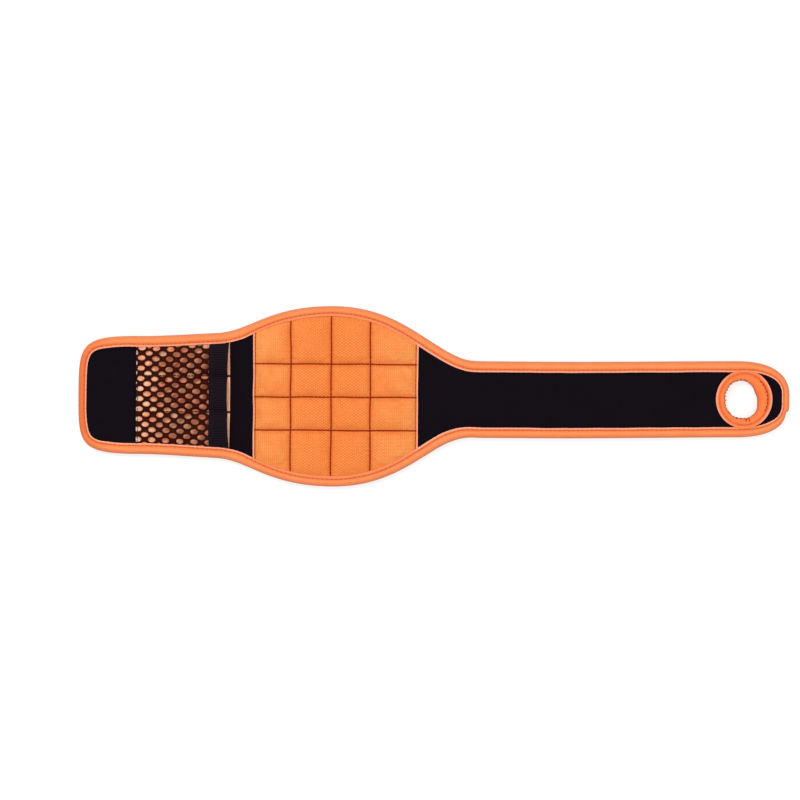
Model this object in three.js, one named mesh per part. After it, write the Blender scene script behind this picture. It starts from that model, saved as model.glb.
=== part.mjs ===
import * as THREE from 'three';

// Magnetic wristband laid out flat, in millimetres. X runs from the tab to the thumb loop, Y across, Z up.
// While it is built, x is counted from the end of the tab. The finished group is moved to its centre.

// Lengths of the band's stretches between its fold lines
const tabLength = 117.8;
const bellyLength = 132;
const nearStrapLength = 91;
const farStrapLength = 74;
const thumbLoopLength = 95.2;

// Outline of one half of the band
const tabEndHalf = 3;
const tabCornerLength = 42.5;
const tabHalf = 42.3;
const tabCornerUpReach = 32.7;
const tabCornerBackReach = 41;
const tabRootToFold = 18.9;
const tabRootHalf = 44.8;
const tabSideReach = 20;
const tabRootFlare = 0.9;
const bellyCrestShare = 0.4917;
const bellyHalf = 64.7;
const bellyTabReach = 23.6;
const bellyTabFlare = 1.1;
const bellyCrestTabReach = 47.5;
const bellyCrestStrapReach = 53.5;
const strapFlareLength = 34.2;
const strapStartReach = 28.3;
const strapHalf = 27.5;
const strapNarrowing = 0.2;
const thumbCurveStretch = 10.4;
const thumbCurveReach = 22.5;
const thumbEndReach = 17;
const thumbEndHalf = 3;

// Fabric thicknesses and the air left between layers
const fabric = 0.8;
const tape = 0.7;
const layerGap = 0.3;
const tapeWidth = 8;
const tapeRoll = 1.4;
const strapFoam = 2.3;
const bellyFoam = 1.5;
const foamTaper = 2;
const backingTaper = 4;
const foldClearance = 0.8;

// Quilted panel and the magnets in its cells
const panelTabMargin = 7.6;
const panelStrapMargin = 6.5;
const panelSeamShares = [0.228, 0.474, 0.712];
const rowSeamShare = 0.368;
const cellCrown = 0.5;
const cellStepShares = [0.12, 0.35, 0.65, 0.88];
const magnetMargin = 0.54;
const magnetThickness = 2;

// Mesh pocket on the tab
const pocketStart = 41.6;
const pocketMouthToFold = 11.5;
const hemWidth = 12.4;
const pocketLip = 2.7;
const pocketLiningThickness = 0.5;
const netThickness = 0.6;
const hemThickness = 1.2;
const pocketSeamLow = -11.8;
const pocketSeamHigh = 14;
const pocketRise = 4.8;
const pocketRiseLength = 39.2;
const pocketArchPower = 2.5;
const netRowCounts = [7, 7, 6];
const netPitch = 5.2;
const netHoleLengthShare = 0.904;
const netHoleWidthShare = 0.5;
const netHoleFlatShare = 0.5;

// Hook patch on the back of the tab
const hookEndMargin = 4;
const hookSideMargin = 1.1;
const hookToFold = 39;
const hookCorner = 5;
const hookThickness = 0.7;

// Ring of tape sewn round the thumb hole
const ringClearance = 0.4;
const crescentWidth = 6;
const ringSideWidth = 5.1;
const ringEndWidth = 7.5;
const holeOffset = 1.8;

// How finely curves are stepped: distances along the edge, then counts
const sideStep = 11;
const curveStep = 5;
const outlineCurveSteps = 64;
const tabCornerPointCount = 9;
const thumbEndPointCount = 13;
const tapeRollSteps = 2;
const ringSteps = 40;
const hemSteps = 8;
const hookCornerSteps = 5;
const magnetSides = 24;

const tapeOrange = 0xff925a;
const panelOrange = 0xfd8f42;
const bandBlack = 0x15121a;
const meshBlack = 0x1c1718;
const foamGrey = 0x4a4a4c;
const magnetSteel = 0x9a9ca0;

// Places along the band
const tabFoldAt = tabLength;
const bellyFoldAt = tabFoldAt + bellyLength;
const strapFoldAt = bellyFoldAt + nearStrapLength;
const thumbFoldAt = strapFoldAt + farStrapLength;
const bandLength = thumbFoldAt + thumbLoopLength;
const tabRootAt = tabFoldAt - tabRootToFold;
const bellyWidestAt = tabFoldAt + bellyCrestShare * bellyLength;
const strapStartAt = bellyFoldAt + strapFlareLength;
const thumbHalf = strapHalf - strapNarrowing;
const thumbCurveAt = bandLength - thumbHalf - thumbCurveStretch;

// Heights of the layers where the tape pinches them together
const seamLevels = [0, 1, 2].map((layer) => tape + layerGap + layer * (fabric + layerGap));
const edgeHeight = seamLevels[2] + fabric + layerGap + tape;
const foldHeight = edgeHeight / 2;
const tapeInside = tapeWidth + layerGap;

// The half outline as many short steps, each with the direction that points into the band
function outlineSteps() {
  const path = new THREE.Path();
  path.moveTo(0, tabEndHalf);
  path.bezierCurveTo(
    0, tabEndHalf + tabCornerUpReach,
    tabCornerLength - tabCornerBackReach, tabHalf,
    tabCornerLength, tabHalf
  );
  path.bezierCurveTo(
    tabCornerLength + tabSideReach, tabHalf,
    tabRootAt - tabSideReach, tabRootHalf - tabRootFlare,
    tabRootAt, tabRootHalf
  );
  path.bezierCurveTo(
    tabRootAt + bellyTabReach, tabRootHalf + bellyTabFlare,
    bellyWidestAt - bellyCrestTabReach, bellyHalf,
    bellyWidestAt, bellyHalf
  );
  path.bezierCurveTo(
    bellyWidestAt + bellyCrestStrapReach, bellyHalf,
    strapStartAt - strapStartReach, strapHalf,
    strapStartAt, strapHalf
  );
  path.lineTo(thumbCurveAt, thumbHalf);
  path.bezierCurveTo(
    thumbCurveAt + thumbCurveReach, thumbHalf,
    bandLength, thumbEndHalf + thumbEndReach,
    bandLength, thumbEndHalf
  );
  const steps = [];
  for (const curve of path.curves) {
    for (let i = steps.length ? 1 : 0; i <= outlineCurveSteps; i++) {
      const point = curve.getPoint(i / outlineCurveSteps);
      const along = curve.getTangent(i / outlineCurveSteps);
      steps.push({ x: point.x, y: point.y, inX: along.y, inY: -along.x });
    }
  }
  return steps;
}

const outline = outlineSteps();

// The half outline moved into the band by a distance
function insetLine(inset) {
  return outline.map((step) => [step.x + step.inX * inset, step.y + step.inY * inset]);
}

const insetLines = new Map();

// Half width at a place along the band, a distance in from its edge
function halfWidth(x, inset) {
  if (!insetLines.has(inset)) insetLines.set(inset, insetLine(inset));
  const line = insetLines.get(inset);
  let i = 1;
  while (i < line.length - 1 && line[i][0] < x) i++;
  const [x0, y0] = line[i - 1];
  const [x1, y1] = line[i];
  return y0 + ((y1 - y0) * (x - x0)) / (x1 - x0);
}

// A cut across the band: square, or rounded about a fold axis towards the side it faces
function squareCut(at) {
  return () => at;
}

function roundCut(axisAt, side) {
  return (z) => axisAt + side * Math.sqrt(Math.max(0, foldHeight ** 2 - (z - foldHeight) ** 2));
}

// Places for stations along a stretch of the band, as far apart as asked
function stationsBetween(start, end, spacing) {
  const count = Math.max(1, Math.round((end - start) / spacing));
  return Array.from({ length: count + 1 }, (_, i) => start + ((end - start) * i) / count);
}

// A rim is one stretch of the outline. It gives its points at any inset and height, always as many.
function sideRims(startCut, endCut, places) {
  function upper(inset, z) {
    const xs = [startCut(z), ...places, endCut(z)];
    return xs.map((x) => [x, halfWidth(x, inset)]);
  }
  return [
    (inset, z) => upper(inset, z).map(([x, y]) => [x, -y]),
    (inset, z) => upper(inset, z).reverse(),
  ];
}

function roundedEnd(isInEnd, count) {
  const places = outline.map((step, i) => (isInEnd(step) ? i : -1)).filter((i) => i >= 0);
  return Array.from({ length: count }, (_, i) => places[Math.round((i * (places.length - 1)) / (count - 1))]);
}

function endPoints(picks, inset) {
  return picks.map((i) => {
    const step = outline[i];
    return [step.x + step.inX * inset, step.y + step.inY * inset];
  });
}

const tabCornerPicks = roundedEnd((step) => step.x <= tabCornerLength, tabCornerPointCount);
const thumbEndPicks = roundedEnd((step) => step.x >= thumbCurveAt, thumbEndPointCount);

function tabRim(cut, places) {
  return (inset, z) => {
    const side = [cut(z), ...places].map((x) => [x, halfWidth(x, inset)]);
    const upper = side.concat(endPoints(tabCornerPicks, inset).reverse());
    const lower = upper.map(([x, y]) => [x, -y]).reverse();
    return upper.concat(lower);
  };
}

function thumbRim(cut, places) {
  return (inset, z) => {
    const side = [cut(z), ...places].map((x) => [x, halfWidth(x, inset)]);
    const upper = side.concat(endPoints(thumbEndPicks, inset));
    const lower = upper.map(([x, y]) => [x, -y]);
    return lower.concat(upper.reverse());
  };
}

// A surface under construction: points, and triangles that face outwards
class Surface {
  constructor() {
    this.places = [];
    this.triangles = [];
  }

  add(points) {
    const first = this.places.length / 3;
    for (const [x, y, z] of points) this.places.push(x, y, z);
    return points.map((_, i) => first + i);
  }

  quad(a, b, c, d) {
    this.triangles.push(a, b, c, a, c, d);
  }

  // Wall between two lines of points, facing right of the way they run when the second is above
  strip(lower, upper, closed = false) {
    const count = closed ? lower.length : lower.length - 1;
    for (let i = 0; i < count; i++) {
      const next = (i + 1) % lower.length;
      this.quad(lower[i], lower[next], upper[next], upper[i]);
    }
  }

  // Sheet between opposite points of one loop, facing up, or down when turned over
  span(loop, turnedOver) {
    const last = loop.length - 1;
    for (let i = 0; i < loop.length / 2 - 1; i++) {
      const corners = [loop[i], loop[i + 1], loop[last - i - 1], loop[last - i]];
      if (turnedOver) corners.reverse();
      this.quad(...corners);
    }
  }

  geometry() {
    const geometry = new THREE.BufferGeometry();
    geometry.setAttribute('position', new THREE.Float32BufferAttribute(this.places, 3));
    geometry.setIndex(this.triangles);
    geometry.computeVertexNormals();
    return geometry;
  }
}

const withHeight = (line, z) => line.map(([x, y]) => [x, y, z]);

// One layer of the band. Each row gives its underside and top at a distance in from the outline.
function layer(rims, rows, hole) {
  const surface = new Surface();
  const faces = ['low', 'high'].map((side) =>
    rows.map((row) => rims.map((rim) => surface.add(withHeight(rim(row.inset, row[side]), row[side]))))
  );
  const [low, high] = faces;
  const inner = rows.length - 1;
  rims.forEach((rim, r) => {
    surface.strip(low[0][r], high[0][r]);
    for (let k = 0; k < inner; k++) {
      surface.strip(high[k][r], high[k + 1][r]);
      surface.strip(low[k + 1][r], low[k][r]);
    }
    const next = (r + 1) % rims.length;
    const across = (face) => [
      ...face.map((row) => row[r].at(-1)),
      ...face.map((row) => row[next][0]).reverse(),
    ];
    surface.strip(across(low), across(high));
  });
  if (hole) {
    fillRoundHole(surface, low[inner].flat(), high[inner].flat(), rows[inner], hole);
  } else {
    surface.span(high[inner].flat(), false);
    surface.span(low[inner].flat(), true);
  }
  return surface.geometry();
}

// Top and underside with a hole in them, and the wall of the hole
function fillRoundHole(surface, low, high, row, hole) {
  const rings = {
    low: surface.add(withHeight(hole, row.low)),
    high: surface.add(withHeight(hole, row.high)),
  };
  surface.strip([...rings.low].reverse(), [...rings.high].reverse(), true);
  const corner = (i) => new THREE.Vector2(surface.places[3 * i], surface.places[3 * i + 1]);
  const faces = THREE.ShapeUtils.triangulateShape(high.map(corner), [rings.high.map(corner)]);
  const lows = [...low, ...rings.low];
  const highs = [...high, ...rings.high];
  for (const [a, b, c] of faces) {
    const [p, q, s] = [a, b, c].map((i) => corner(highs[i]));
    const turn = (q.x - p.x) * (s.y - p.y) - (q.y - p.y) * (s.x - p.x);
    const [i, j, k] = turn > 0 ? [a, b, c] : [a, c, b];
    surface.triangles.push(highs[i], highs[j], highs[k], lows[i], lows[k], lows[j]);
  }
}

// Section of folded tape as pairs of an outer and an inner point, each a distance in and a height
function foldedTapeSection(flangeWidth) {
  const turns = Array.from({ length: tapeRollSteps + 1 }, (_, i) => (i * Math.PI) / 2 / tapeRollSteps);
  const upper = [
    { outer: [flangeWidth, edgeHeight], inner: [flangeWidth, edgeHeight - tape] },
    ...turns.map((turn) => ({
      outer: [tapeRoll * (1 - Math.sin(turn)), edgeHeight - tapeRoll * (1 - Math.cos(turn))],
      inner: [
        tapeRoll - (tapeRoll - tape) * Math.sin(turn),
        edgeHeight - tapeRoll + (tapeRoll - tape) * Math.cos(turn),
      ],
    })),
  ];
  const flip = ([inset, z]) => [inset, edgeHeight - z];
  const lower = upper.map(({ outer, inner }) => ({ outer: flip(outer), inner: flip(inner) }));
  return upper.concat(lower.reverse());
}

// Tape folded over the edge along one rim
function edgeTape(rim) {
  const surface = new Surface();
  const section = foldedTapeSection(tapeWidth);
  const lineOf = ([inset, z]) => surface.add(withHeight(rim(inset, z), z));
  const outer = section.map((pair) => lineOf(pair.outer));
  const inner = section.map((pair) => lineOf(pair.inner));
  const last = section.length - 1;
  for (let i = 0; i < last; i++) {
    surface.strip(outer[i + 1], outer[i]);
    surface.strip(inner[i], inner[i + 1]);
  }
  surface.strip(outer[0], inner[0]);
  surface.strip(inner[last], outer[last]);
  for (let i = 0; i < last; i++) {
    surface.quad(inner[i][0], inner[i + 1][0], outer[i + 1][0], outer[i][0]);
    surface.quad(outer[i].at(-1), outer[i + 1].at(-1), inner[i + 1].at(-1), inner[i].at(-1));
  }
  return surface.geometry();
}

// Thumb hole and the outer edge of its ring, which lies between the tapes and off the end's tape
const ringRadius = thumbHalf - tapeWidth - ringClearance;
const ringAt = bandLength - tapeWidth - crescentWidth - ringRadius;
const holeAt = ringAt - holeOffset;
const holeHalfLength = ringRadius - ringEndWidth;
const holeHalfWidth = ringRadius - ringSideWidth;

// Points round the thumb hole, grown by a distance
function holeLoop(growth) {
  return Array.from({ length: ringSteps }, (_, i) => {
    const turn = (i * 2 * Math.PI) / ringSteps;
    return [
      holeAt + (holeHalfLength + growth) * Math.cos(turn),
      (holeHalfWidth + growth) * Math.sin(turn),
    ];
  });
}

function ringLoop() {
  return Array.from({ length: ringSteps }, (_, i) => {
    const turn = (i * 2 * Math.PI) / ringSteps;
    return [ringAt + ringRadius * Math.cos(turn), ringRadius * Math.sin(turn)];
  });
}

// Ring of tape that wraps the edge of the thumb hole, front and back
function thumbRing() {
  const surface = new Surface();
  const section = foldedTapeSection(tapeWidth);
  const last = section.length - 1;
  const loopOf = (inset, isFlange) => (isFlange ? ringLoop() : holeLoop(inset));
  const lineOf = ([inset, z], isFlange) => surface.add(withHeight(loopOf(inset, isFlange), z));
  const outer = section.map((pair, i) => lineOf(pair.outer, i === 0 || i === last));
  const inner = section.map((pair, i) => lineOf(pair.inner, i === 0 || i === last));
  for (let i = 0; i < last; i++) {
    surface.strip(outer[i], outer[i + 1], true);
    surface.strip(inner[i + 1], inner[i], true);
  }
  surface.strip(inner[0], outer[0], true);
  surface.strip(outer[last], inner[last], true);
  return surface.geometry();
}

// A sheet on a grid of places, with an underside and a thickness at each, as one closed body
function gridSheet(xs, ysAt, lowAt, thickness) {
  const surface = new Surface();
  const rows = xs.map((x) => {
    const points = ysAt(x).map((y, j) => [x, y, lowAt(x, y, j)]);
    return {
      low: surface.add(points),
      high: surface.add(points.map(([px, y, z]) => [px, y, z + thickness])),
    };
  });
  for (let i = 1; i < rows.length; i++) {
    surface.strip(rows[i].high, rows[i - 1].high);
    surface.strip(rows[i - 1].low, rows[i].low);
  }
  const side = (face, j) => rows.map((row) => row[face].at(j));
  surface.strip(side('low', 0), side('high', 0));
  surface.strip(side('high', -1), side('low', -1));
  surface.strip(rows[0].high, rows[0].low);
  surface.strip(rows.at(-1).low, rows.at(-1).high);
  return surface.geometry();
}

// Quilted panel: sewn down along the seams, raised over a magnet in each cell
const bellyBackingHigh = fabric + layerGap + bellyFoam + layerGap + fabric;
const magnetLow = bellyBackingHigh + layerGap;
const cellRise = magnetThickness + layerGap;
const panelStart = tabFoldAt + panelTabMargin;
const panelEnd = bellyFoldAt - panelStrapMargin;
const rowSeam = rowSeamShare * bellyHalf;
const panelColumns = [0, ...panelSeamShares, 1].map((share) => panelStart + share * (panelEnd - panelStart));

function panelRowEdges(x) {
  const inside = halfWidth(x, tapeInside);
  return [-inside, -rowSeam, 0, rowSeam, inside];
}

function cellSteps(edges) {
  const steps = [edges[0]];
  for (let i = 1; i < edges.length; i++) {
    for (const share of cellStepShares) steps.push(edges[i - 1] + share * (edges[i] - edges[i - 1]));
    steps.push(edges[i]);
  }
  return steps;
}

// How far along its cell a place is, from 0 to 1
function shareInCell(value, edges) {
  let i = 1;
  while (i < edges.length - 1 && edges[i] < value) i++;
  return (value - edges[i - 1]) / (edges[i] - edges[i - 1]);
}

function panelLow(x, y, j, lastRow) {
  if (j <= 1 || j >= lastRow - 1) return seamLevels[2];
  const u = shareInCell(x, panelColumns);
  const v = shareInCell(y, panelRowEdges(x));
  const first = cellStepShares[0];
  const foot = Math.min(1, u / first, (1 - u) / first) * Math.min(1, v / first, (1 - v) / first);
  return magnetLow + cellRise * foot + cellCrown * Math.sin(Math.PI * u) * Math.sin(Math.PI * v);
}

function quiltedPanel() {
  const ysAt = (x) => {
    const pinched = halfWidth(x, tapeRoll);
    return [-pinched, ...cellSteps(panelRowEdges(x)), pinched];
  };
  const lastRow = ysAt(panelStart).length - 1;
  return gridSheet(cellSteps(panelColumns), ysAt, (x, y, j) => panelLow(x, y, j, lastRow), fabric);
}

// Middles of the cells, column by column, each with its shorter side
function cellPlaces() {
  const places = [];
  for (let column = 1; column < panelColumns.length; column++) {
    const length = panelColumns[column] - panelColumns[column - 1];
    const x = panelColumns[column - 1] + length / 2;
    const rows = panelRowEdges(x);
    for (let row = 1; row < rows.length; row++) {
      const width = rows[row] - rows[row - 1];
      places.push({ x, y: rows[row - 1] + width / 2, side: Math.min(length, width) });
    }
  }
  return places;
}

// All magnets are alike and lie in the raised part of the narrowest cell
const raisedShare = 1 - 2 * cellStepShares[0];
const magnetRadius = (raisedShare * Math.min(...cellPlaces().map((cell) => cell.side))) / 2 - magnetMargin;

function magnet({ x, y }) {
  const geometry = new THREE.CylinderGeometry(magnetRadius, magnetRadius, magnetThickness, magnetSides);
  geometry.rotateX(Math.PI / 2);
  geometry.translate(x, y, magnetLow + magnetThickness / 2);
  return geometry;
}

// Pocket: a net and an elastic hem that arch over three compartments, on a lining
const tabFaceHigh = seamLevels[2] + fabric;
const pocketFloorLow = tabFaceHigh + layerGap;
const pocketFloorHigh = pocketFloorLow + pocketLiningThickness;
const pocketLow = pocketFloorHigh + layerGap;
const pocketMouth = tabFoldAt - pocketMouthToFold;
const pocketLiningEnd = pocketMouth + pocketLip;
const hemStart = pocketMouth - hemWidth;
const netEnd = hemStart - layerGap;

function pocketRowEdges(x) {
  const inside = halfWidth(x, tapeInside);
  return [-inside, pocketSeamLow, pocketSeamHigh, inside];
}

function archLow(x, y) {
  const across = 2 * shareInCell(y, pocketRowEdges(x)) - 1;
  const along = Math.min(1, Math.max(0, (x - pocketStart) / pocketRiseLength));
  const opening = along * along * (3 - 2 * along);
  return pocketLow + pocketRise * opening * (1 - Math.abs(across) ** pocketArchPower);
}

function pocketHem() {
  const ysAt = (x) => {
    const edges = pocketRowEdges(x);
    const steps = [edges[0]];
    for (let i = 1; i < edges.length; i++) {
      const step = (edges[i] - edges[i - 1]) / hemSteps;
      for (let k = 1; k <= hemSteps; k++) steps.push(edges[i - 1] + k * step);
    }
    return steps;
  };
  return gridSheet([hemStart, pocketMouth], ysAt, archLow, hemThickness);
}

// Net: columns of six-sided holes, each column half a hole lower than the one before
function pocketNet() {
  const surface = new Surface();
  const netColumns = Math.round((netEnd - pocketStart) / netPitch);
  const columnWidth = (netEnd - pocketStart) / netColumns;
  const halfRows = netRowCounts.reduce((sum, count) => sum + count);
  function rowAt(x, k) {
    const edges = pocketRowEdges(x);
    let i = 0;
    let left = k;
    while (i < netRowCounts.length - 1 && left > netRowCounts[i]) left -= netRowCounts[i++];
    return edges[i] + (left / netRowCounts[i]) * (edges[i + 1] - edges[i]);
  }
  const bothFaces = (points) => {
    const low = surface.add(points.map(([x, y]) => [x, y, archLow(x, y)]));
    const high = surface.add(points.map(([x, y]) => [x, y, archLow(x, y) + netThickness]));
    return low.map((_, i) => ({ low: low[i], high: high[i] }));
  };
  const knots = Array.from({ length: netColumns + 1 }, (_, i) => {
    const x = pocketStart + i * columnWidth;
    return bothFaces(Array.from({ length: halfRows + 1 }, (_, k) => [x, rowAt(x, k)]));
  });
  const face = (a, b, c, d) => {
    surface.quad(a.high, b.high, c.high, d.high);
    surface.quad(d.low, c.low, b.low, a.low);
  };
  const wall = (a, b) => surface.quad(a.low, b.low, b.high, a.high);
  function holeCell(i, k) {
    const x = pocketStart + (i + 0.5) * columnWidth;
    const up = netHoleWidthShare * (rowAt(x, k + 1) - rowAt(x, k));
    const down = netHoleWidthShare * (rowAt(x, k) - rowAt(x, k - 1));
    const y = rowAt(x, k);
    const reach = (netHoleLengthShare * columnWidth) / 2;
    const flat = reach * netHoleFlatShare;
    const hole = bothFaces([
      [x - reach, y], [x - flat, y - down], [x + flat, y - down],
      [x + reach, y], [x + flat, y + up], [x - flat, y + up],
    ]);
    const rim = [
      knots[i][k], knots[i][k - 1], knots[i + 1][k - 1],
      knots[i + 1][k], knots[i + 1][k + 1], knots[i][k + 1],
    ];
    for (let n = 0; n < rim.length; n++) {
      const next = (n + 1) % rim.length;
      face(rim[n], rim[next], hole[next], hole[n]);
      wall(hole[next], hole[n]);
    }
  }
  for (let i = 0; i < netColumns; i++) {
    const offset = i % 2;
    for (let k = 1 + offset; k < halfRows; k += 2) holeCell(i, k);
    if (offset) {
      face(knots[i][0], knots[i + 1][0], knots[i + 1][1], knots[i][1]);
      face(knots[i][halfRows - 1], knots[i + 1][halfRows - 1], knots[i + 1][halfRows], knots[i][halfRows]);
    }
    wall(knots[i][0], knots[i + 1][0]);
    wall(knots[i + 1][halfRows], knots[i][halfRows]);
  }
  for (let k = 0; k < halfRows; k++) {
    wall(knots[0][k + 1], knots[0][k]);
    wall(knots[netColumns][k], knots[netColumns][k + 1]);
  }
  return surface.geometry();
}

function hookPatch() {
  const hookStart = tapeWidth + hookEndMargin;
  const end = tabFoldAt - hookToFold;
  const cornerCut = hookCorner * (1 - Math.SQRT1_2);
  const besideTape = [hookStart + hookCorner, end].map((x) => halfWidth(x, tapeWidth));
  besideTape.push(halfWidth(hookStart + cornerCut, tapeWidth) + cornerCut);
  const half = Math.min(...besideTape) - hookSideMargin;
  const shape = new THREE.Shape();
  shape.moveTo(hookStart + hookCorner, -half);
  shape.lineTo(end - hookCorner, -half);
  shape.absarc(end - hookCorner, hookCorner - half, hookCorner, -Math.PI / 2, 0);
  shape.lineTo(end, half - hookCorner);
  shape.absarc(end - hookCorner, half - hookCorner, hookCorner, 0, Math.PI / 2);
  shape.lineTo(hookStart + hookCorner, half);
  shape.absarc(hookStart + hookCorner, half - hookCorner, hookCorner, Math.PI / 2, Math.PI);
  shape.lineTo(hookStart, hookCorner - half);
  shape.absarc(hookStart + hookCorner, hookCorner - half, hookCorner, Math.PI, 1.5 * Math.PI);
  return new THREE.ExtrudeGeometry(shape, {
    depth: hookThickness,
    bevelEnabled: false,
    curveSegments: hookCornerSteps,
  });
}

// Rows of one layer: pinched under the tape, then at its own heights inside
const pinched = (level, inset) => ({ inset, low: seamLevels[level], high: seamLevels[level] + fabric });

function flatRows(level) {
  return [pinched(level, tapeRoll), pinched(level, tapeInside)];
}

function raisedRows(level, taper, low, high) {
  return [...flatRows(level), { inset: tapeInside + taper, low, high }];
}

const strapFoamLow = fabric + layerGap;
const strapFaceLow = strapFoamLow + strapFoam + layerGap;
const bellyBackingLow = bellyBackingHigh - fabric;

const liningRows = raisedRows(0, foamTaper, 0, fabric);
const strapFoamRows = raisedRows(1, foamTaper, strapFoamLow, strapFoamLow + strapFoam);
const strapFaceRows = raisedRows(2, foamTaper, strapFaceLow, strapFaceLow + fabric);
const bellyBackingRows = raisedRows(1, backingTaper, bellyBackingLow, bellyBackingHigh);
const bellyFoamRows = [
  { inset: tapeInside + foamTaper, low: strapFoamLow, high: strapFoamLow + bellyFoam / 2 },
  { inset: tapeInside + backingTaper, low: strapFoamLow, high: strapFoamLow + bellyFoam },
];

// Each body's stretch of the band
const foldReach = foldHeight + foldClearance;
const tabSidePlaces = stationsBetween(tabCornerLength, tabRootAt, sideStep);
const tabPlaces = [tabFoldAt - foldHeight, pocketLiningEnd, ...tabSidePlaces.slice(1).reverse()];
const tabEdge = [tabRim(roundCut(tabFoldAt, 1), tabPlaces)];
const bellyPlaces = stationsBetween(tabFoldAt + 2 * foldReach, bellyFoldAt - 2 * foldReach, curveStep);
const bellyEdges = sideRims(
  squareCut(tabFoldAt + foldReach), squareCut(bellyFoldAt - foldReach), bellyPlaces
);
const strapCurvePlaces = stationsBetween(bellyFoldAt + foldReach, strapStartAt, curveStep);
const nearStrapEdges = sideRims(
  roundCut(bellyFoldAt, -1), squareCut(strapFoldAt - foldReach), strapCurvePlaces
);
const farStrapEdges = sideRims(roundCut(strapFoldAt, -1), squareCut(thumbFoldAt - foldReach), []);
const thumbEdge = [thumbRim(roundCut(thumbFoldAt, -1), [])];

function pocketFloor() {
  const places = [...tabSidePlaces.filter((x) => x > pocketStart), pocketMouth];
  const rims = sideRims(squareCut(pocketStart), squareCut(pocketLiningEnd), places);
  return layer(rims, [{ inset: tapeInside, low: pocketFloorLow, high: pocketFloorHigh }]);
}

const finishes = {
  tape: { color: tapeOrange, roughness: 0.8 },
  panel: { color: panelOrange, roughness: 0.85 },
  black: { color: bandBlack, roughness: 0.95 },
  mesh: { color: meshBlack, roughness: 0.9 },
  foam: { color: foamGrey, roughness: 1 },
  steel: { color: magnetSteel, roughness: 0.35, metalness: 1 },
};

const wristband = new THREE.Group();
wristband.name = 'magnetic_wristband';

function addPiece(name, geometry, finish) {
  const piece = new THREE.Mesh(geometry, new THREE.MeshStandardMaterial(finishes[finish]));
  piece.name = name;
  wristband.add(piece);
}

function addTab() {
  addPiece('tab_binding', edgeTape(tabEdge[0]), 'tape');
  addPiece('tab_lining', layer(tabEdge, flatRows(0)), 'black');
  addPiece('tab_padding', layer(tabEdge, flatRows(1)), 'foam');
  addPiece('tab_face', layer(tabEdge, flatRows(2)), 'black');
  addPiece('hook_patch', hookPatch(), 'black');
  addPiece('pocket_lining', pocketFloor(), 'panel');
  addPiece('pocket_net', pocketNet(), 'mesh');
  addPiece('pocket_hem', pocketHem(), 'black');
}

function addBelly() {
  addPiece('belly_binding_lower', edgeTape(bellyEdges[0]), 'tape');
  addPiece('belly_binding_upper', edgeTape(bellyEdges[1]), 'tape');
  addPiece('belly_lining', layer(bellyEdges, liningRows), 'black');
  addPiece('belly_padding', layer(bellyEdges, bellyFoamRows), 'foam');
  addPiece('magnet_backing', layer(bellyEdges, bellyBackingRows), 'black');
  cellPlaces().forEach((cell, i) => addPiece(`magnet_${i + 1}`, magnet(cell), 'steel'));
  addPiece('quilted_panel', quiltedPanel(), 'panel');
}

function addStrap(name, edges) {
  addPiece(`${name}_binding_lower`, edgeTape(edges[0]), 'tape');
  addPiece(`${name}_binding_upper`, edgeTape(edges[1]), 'tape');
  addPiece(`${name}_lining`, layer(edges, liningRows), 'black');
  addPiece(`${name}_padding`, layer(edges, strapFoamRows), 'foam');
  addPiece(`${name}_face`, layer(edges, strapFaceRows), 'black');
}

function addThumbLoop() {
  const hole = holeLoop(tapeRoll);
  addPiece('thumb_binding', edgeTape(thumbEdge[0]), 'tape');
  addPiece('thumb_lining', layer(thumbEdge, flatRows(0), hole), 'black');
  addPiece('thumb_padding', layer(thumbEdge, flatRows(1), hole), 'foam');
  addPiece('thumb_face', layer(thumbEdge, flatRows(2), hole), 'black');
  addPiece('thumb_ring', thumbRing(), 'tape');
}

addTab();
addBelly();
addStrap('near_strap', nearStrapEdges);
addStrap('far_strap', farStrapEdges);
addThumbLoop();

wristband.position.x = -bandLength / 2;

export default wristband;
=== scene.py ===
import math

import bmesh
import bpy
import numpy as np
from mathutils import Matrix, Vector, noise


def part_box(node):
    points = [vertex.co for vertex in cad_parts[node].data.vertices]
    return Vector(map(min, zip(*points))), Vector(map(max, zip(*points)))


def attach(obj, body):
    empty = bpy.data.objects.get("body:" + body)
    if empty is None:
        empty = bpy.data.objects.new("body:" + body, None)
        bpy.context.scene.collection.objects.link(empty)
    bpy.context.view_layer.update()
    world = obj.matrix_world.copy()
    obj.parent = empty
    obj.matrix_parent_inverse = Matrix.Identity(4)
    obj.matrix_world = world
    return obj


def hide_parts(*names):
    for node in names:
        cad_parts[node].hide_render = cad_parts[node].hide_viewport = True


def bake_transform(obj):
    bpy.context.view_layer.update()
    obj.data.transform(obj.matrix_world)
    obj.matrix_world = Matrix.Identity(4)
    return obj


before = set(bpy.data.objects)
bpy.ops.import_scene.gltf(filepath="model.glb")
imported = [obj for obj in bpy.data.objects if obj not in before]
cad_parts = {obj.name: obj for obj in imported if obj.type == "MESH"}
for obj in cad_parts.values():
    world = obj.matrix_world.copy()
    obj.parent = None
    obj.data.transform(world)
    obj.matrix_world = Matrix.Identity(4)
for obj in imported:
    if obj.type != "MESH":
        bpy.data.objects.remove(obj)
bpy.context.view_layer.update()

# Lengths here are in millimetres, with x counted from the end of the tab. Meshes are written in metres.
MM = 0.001

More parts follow.
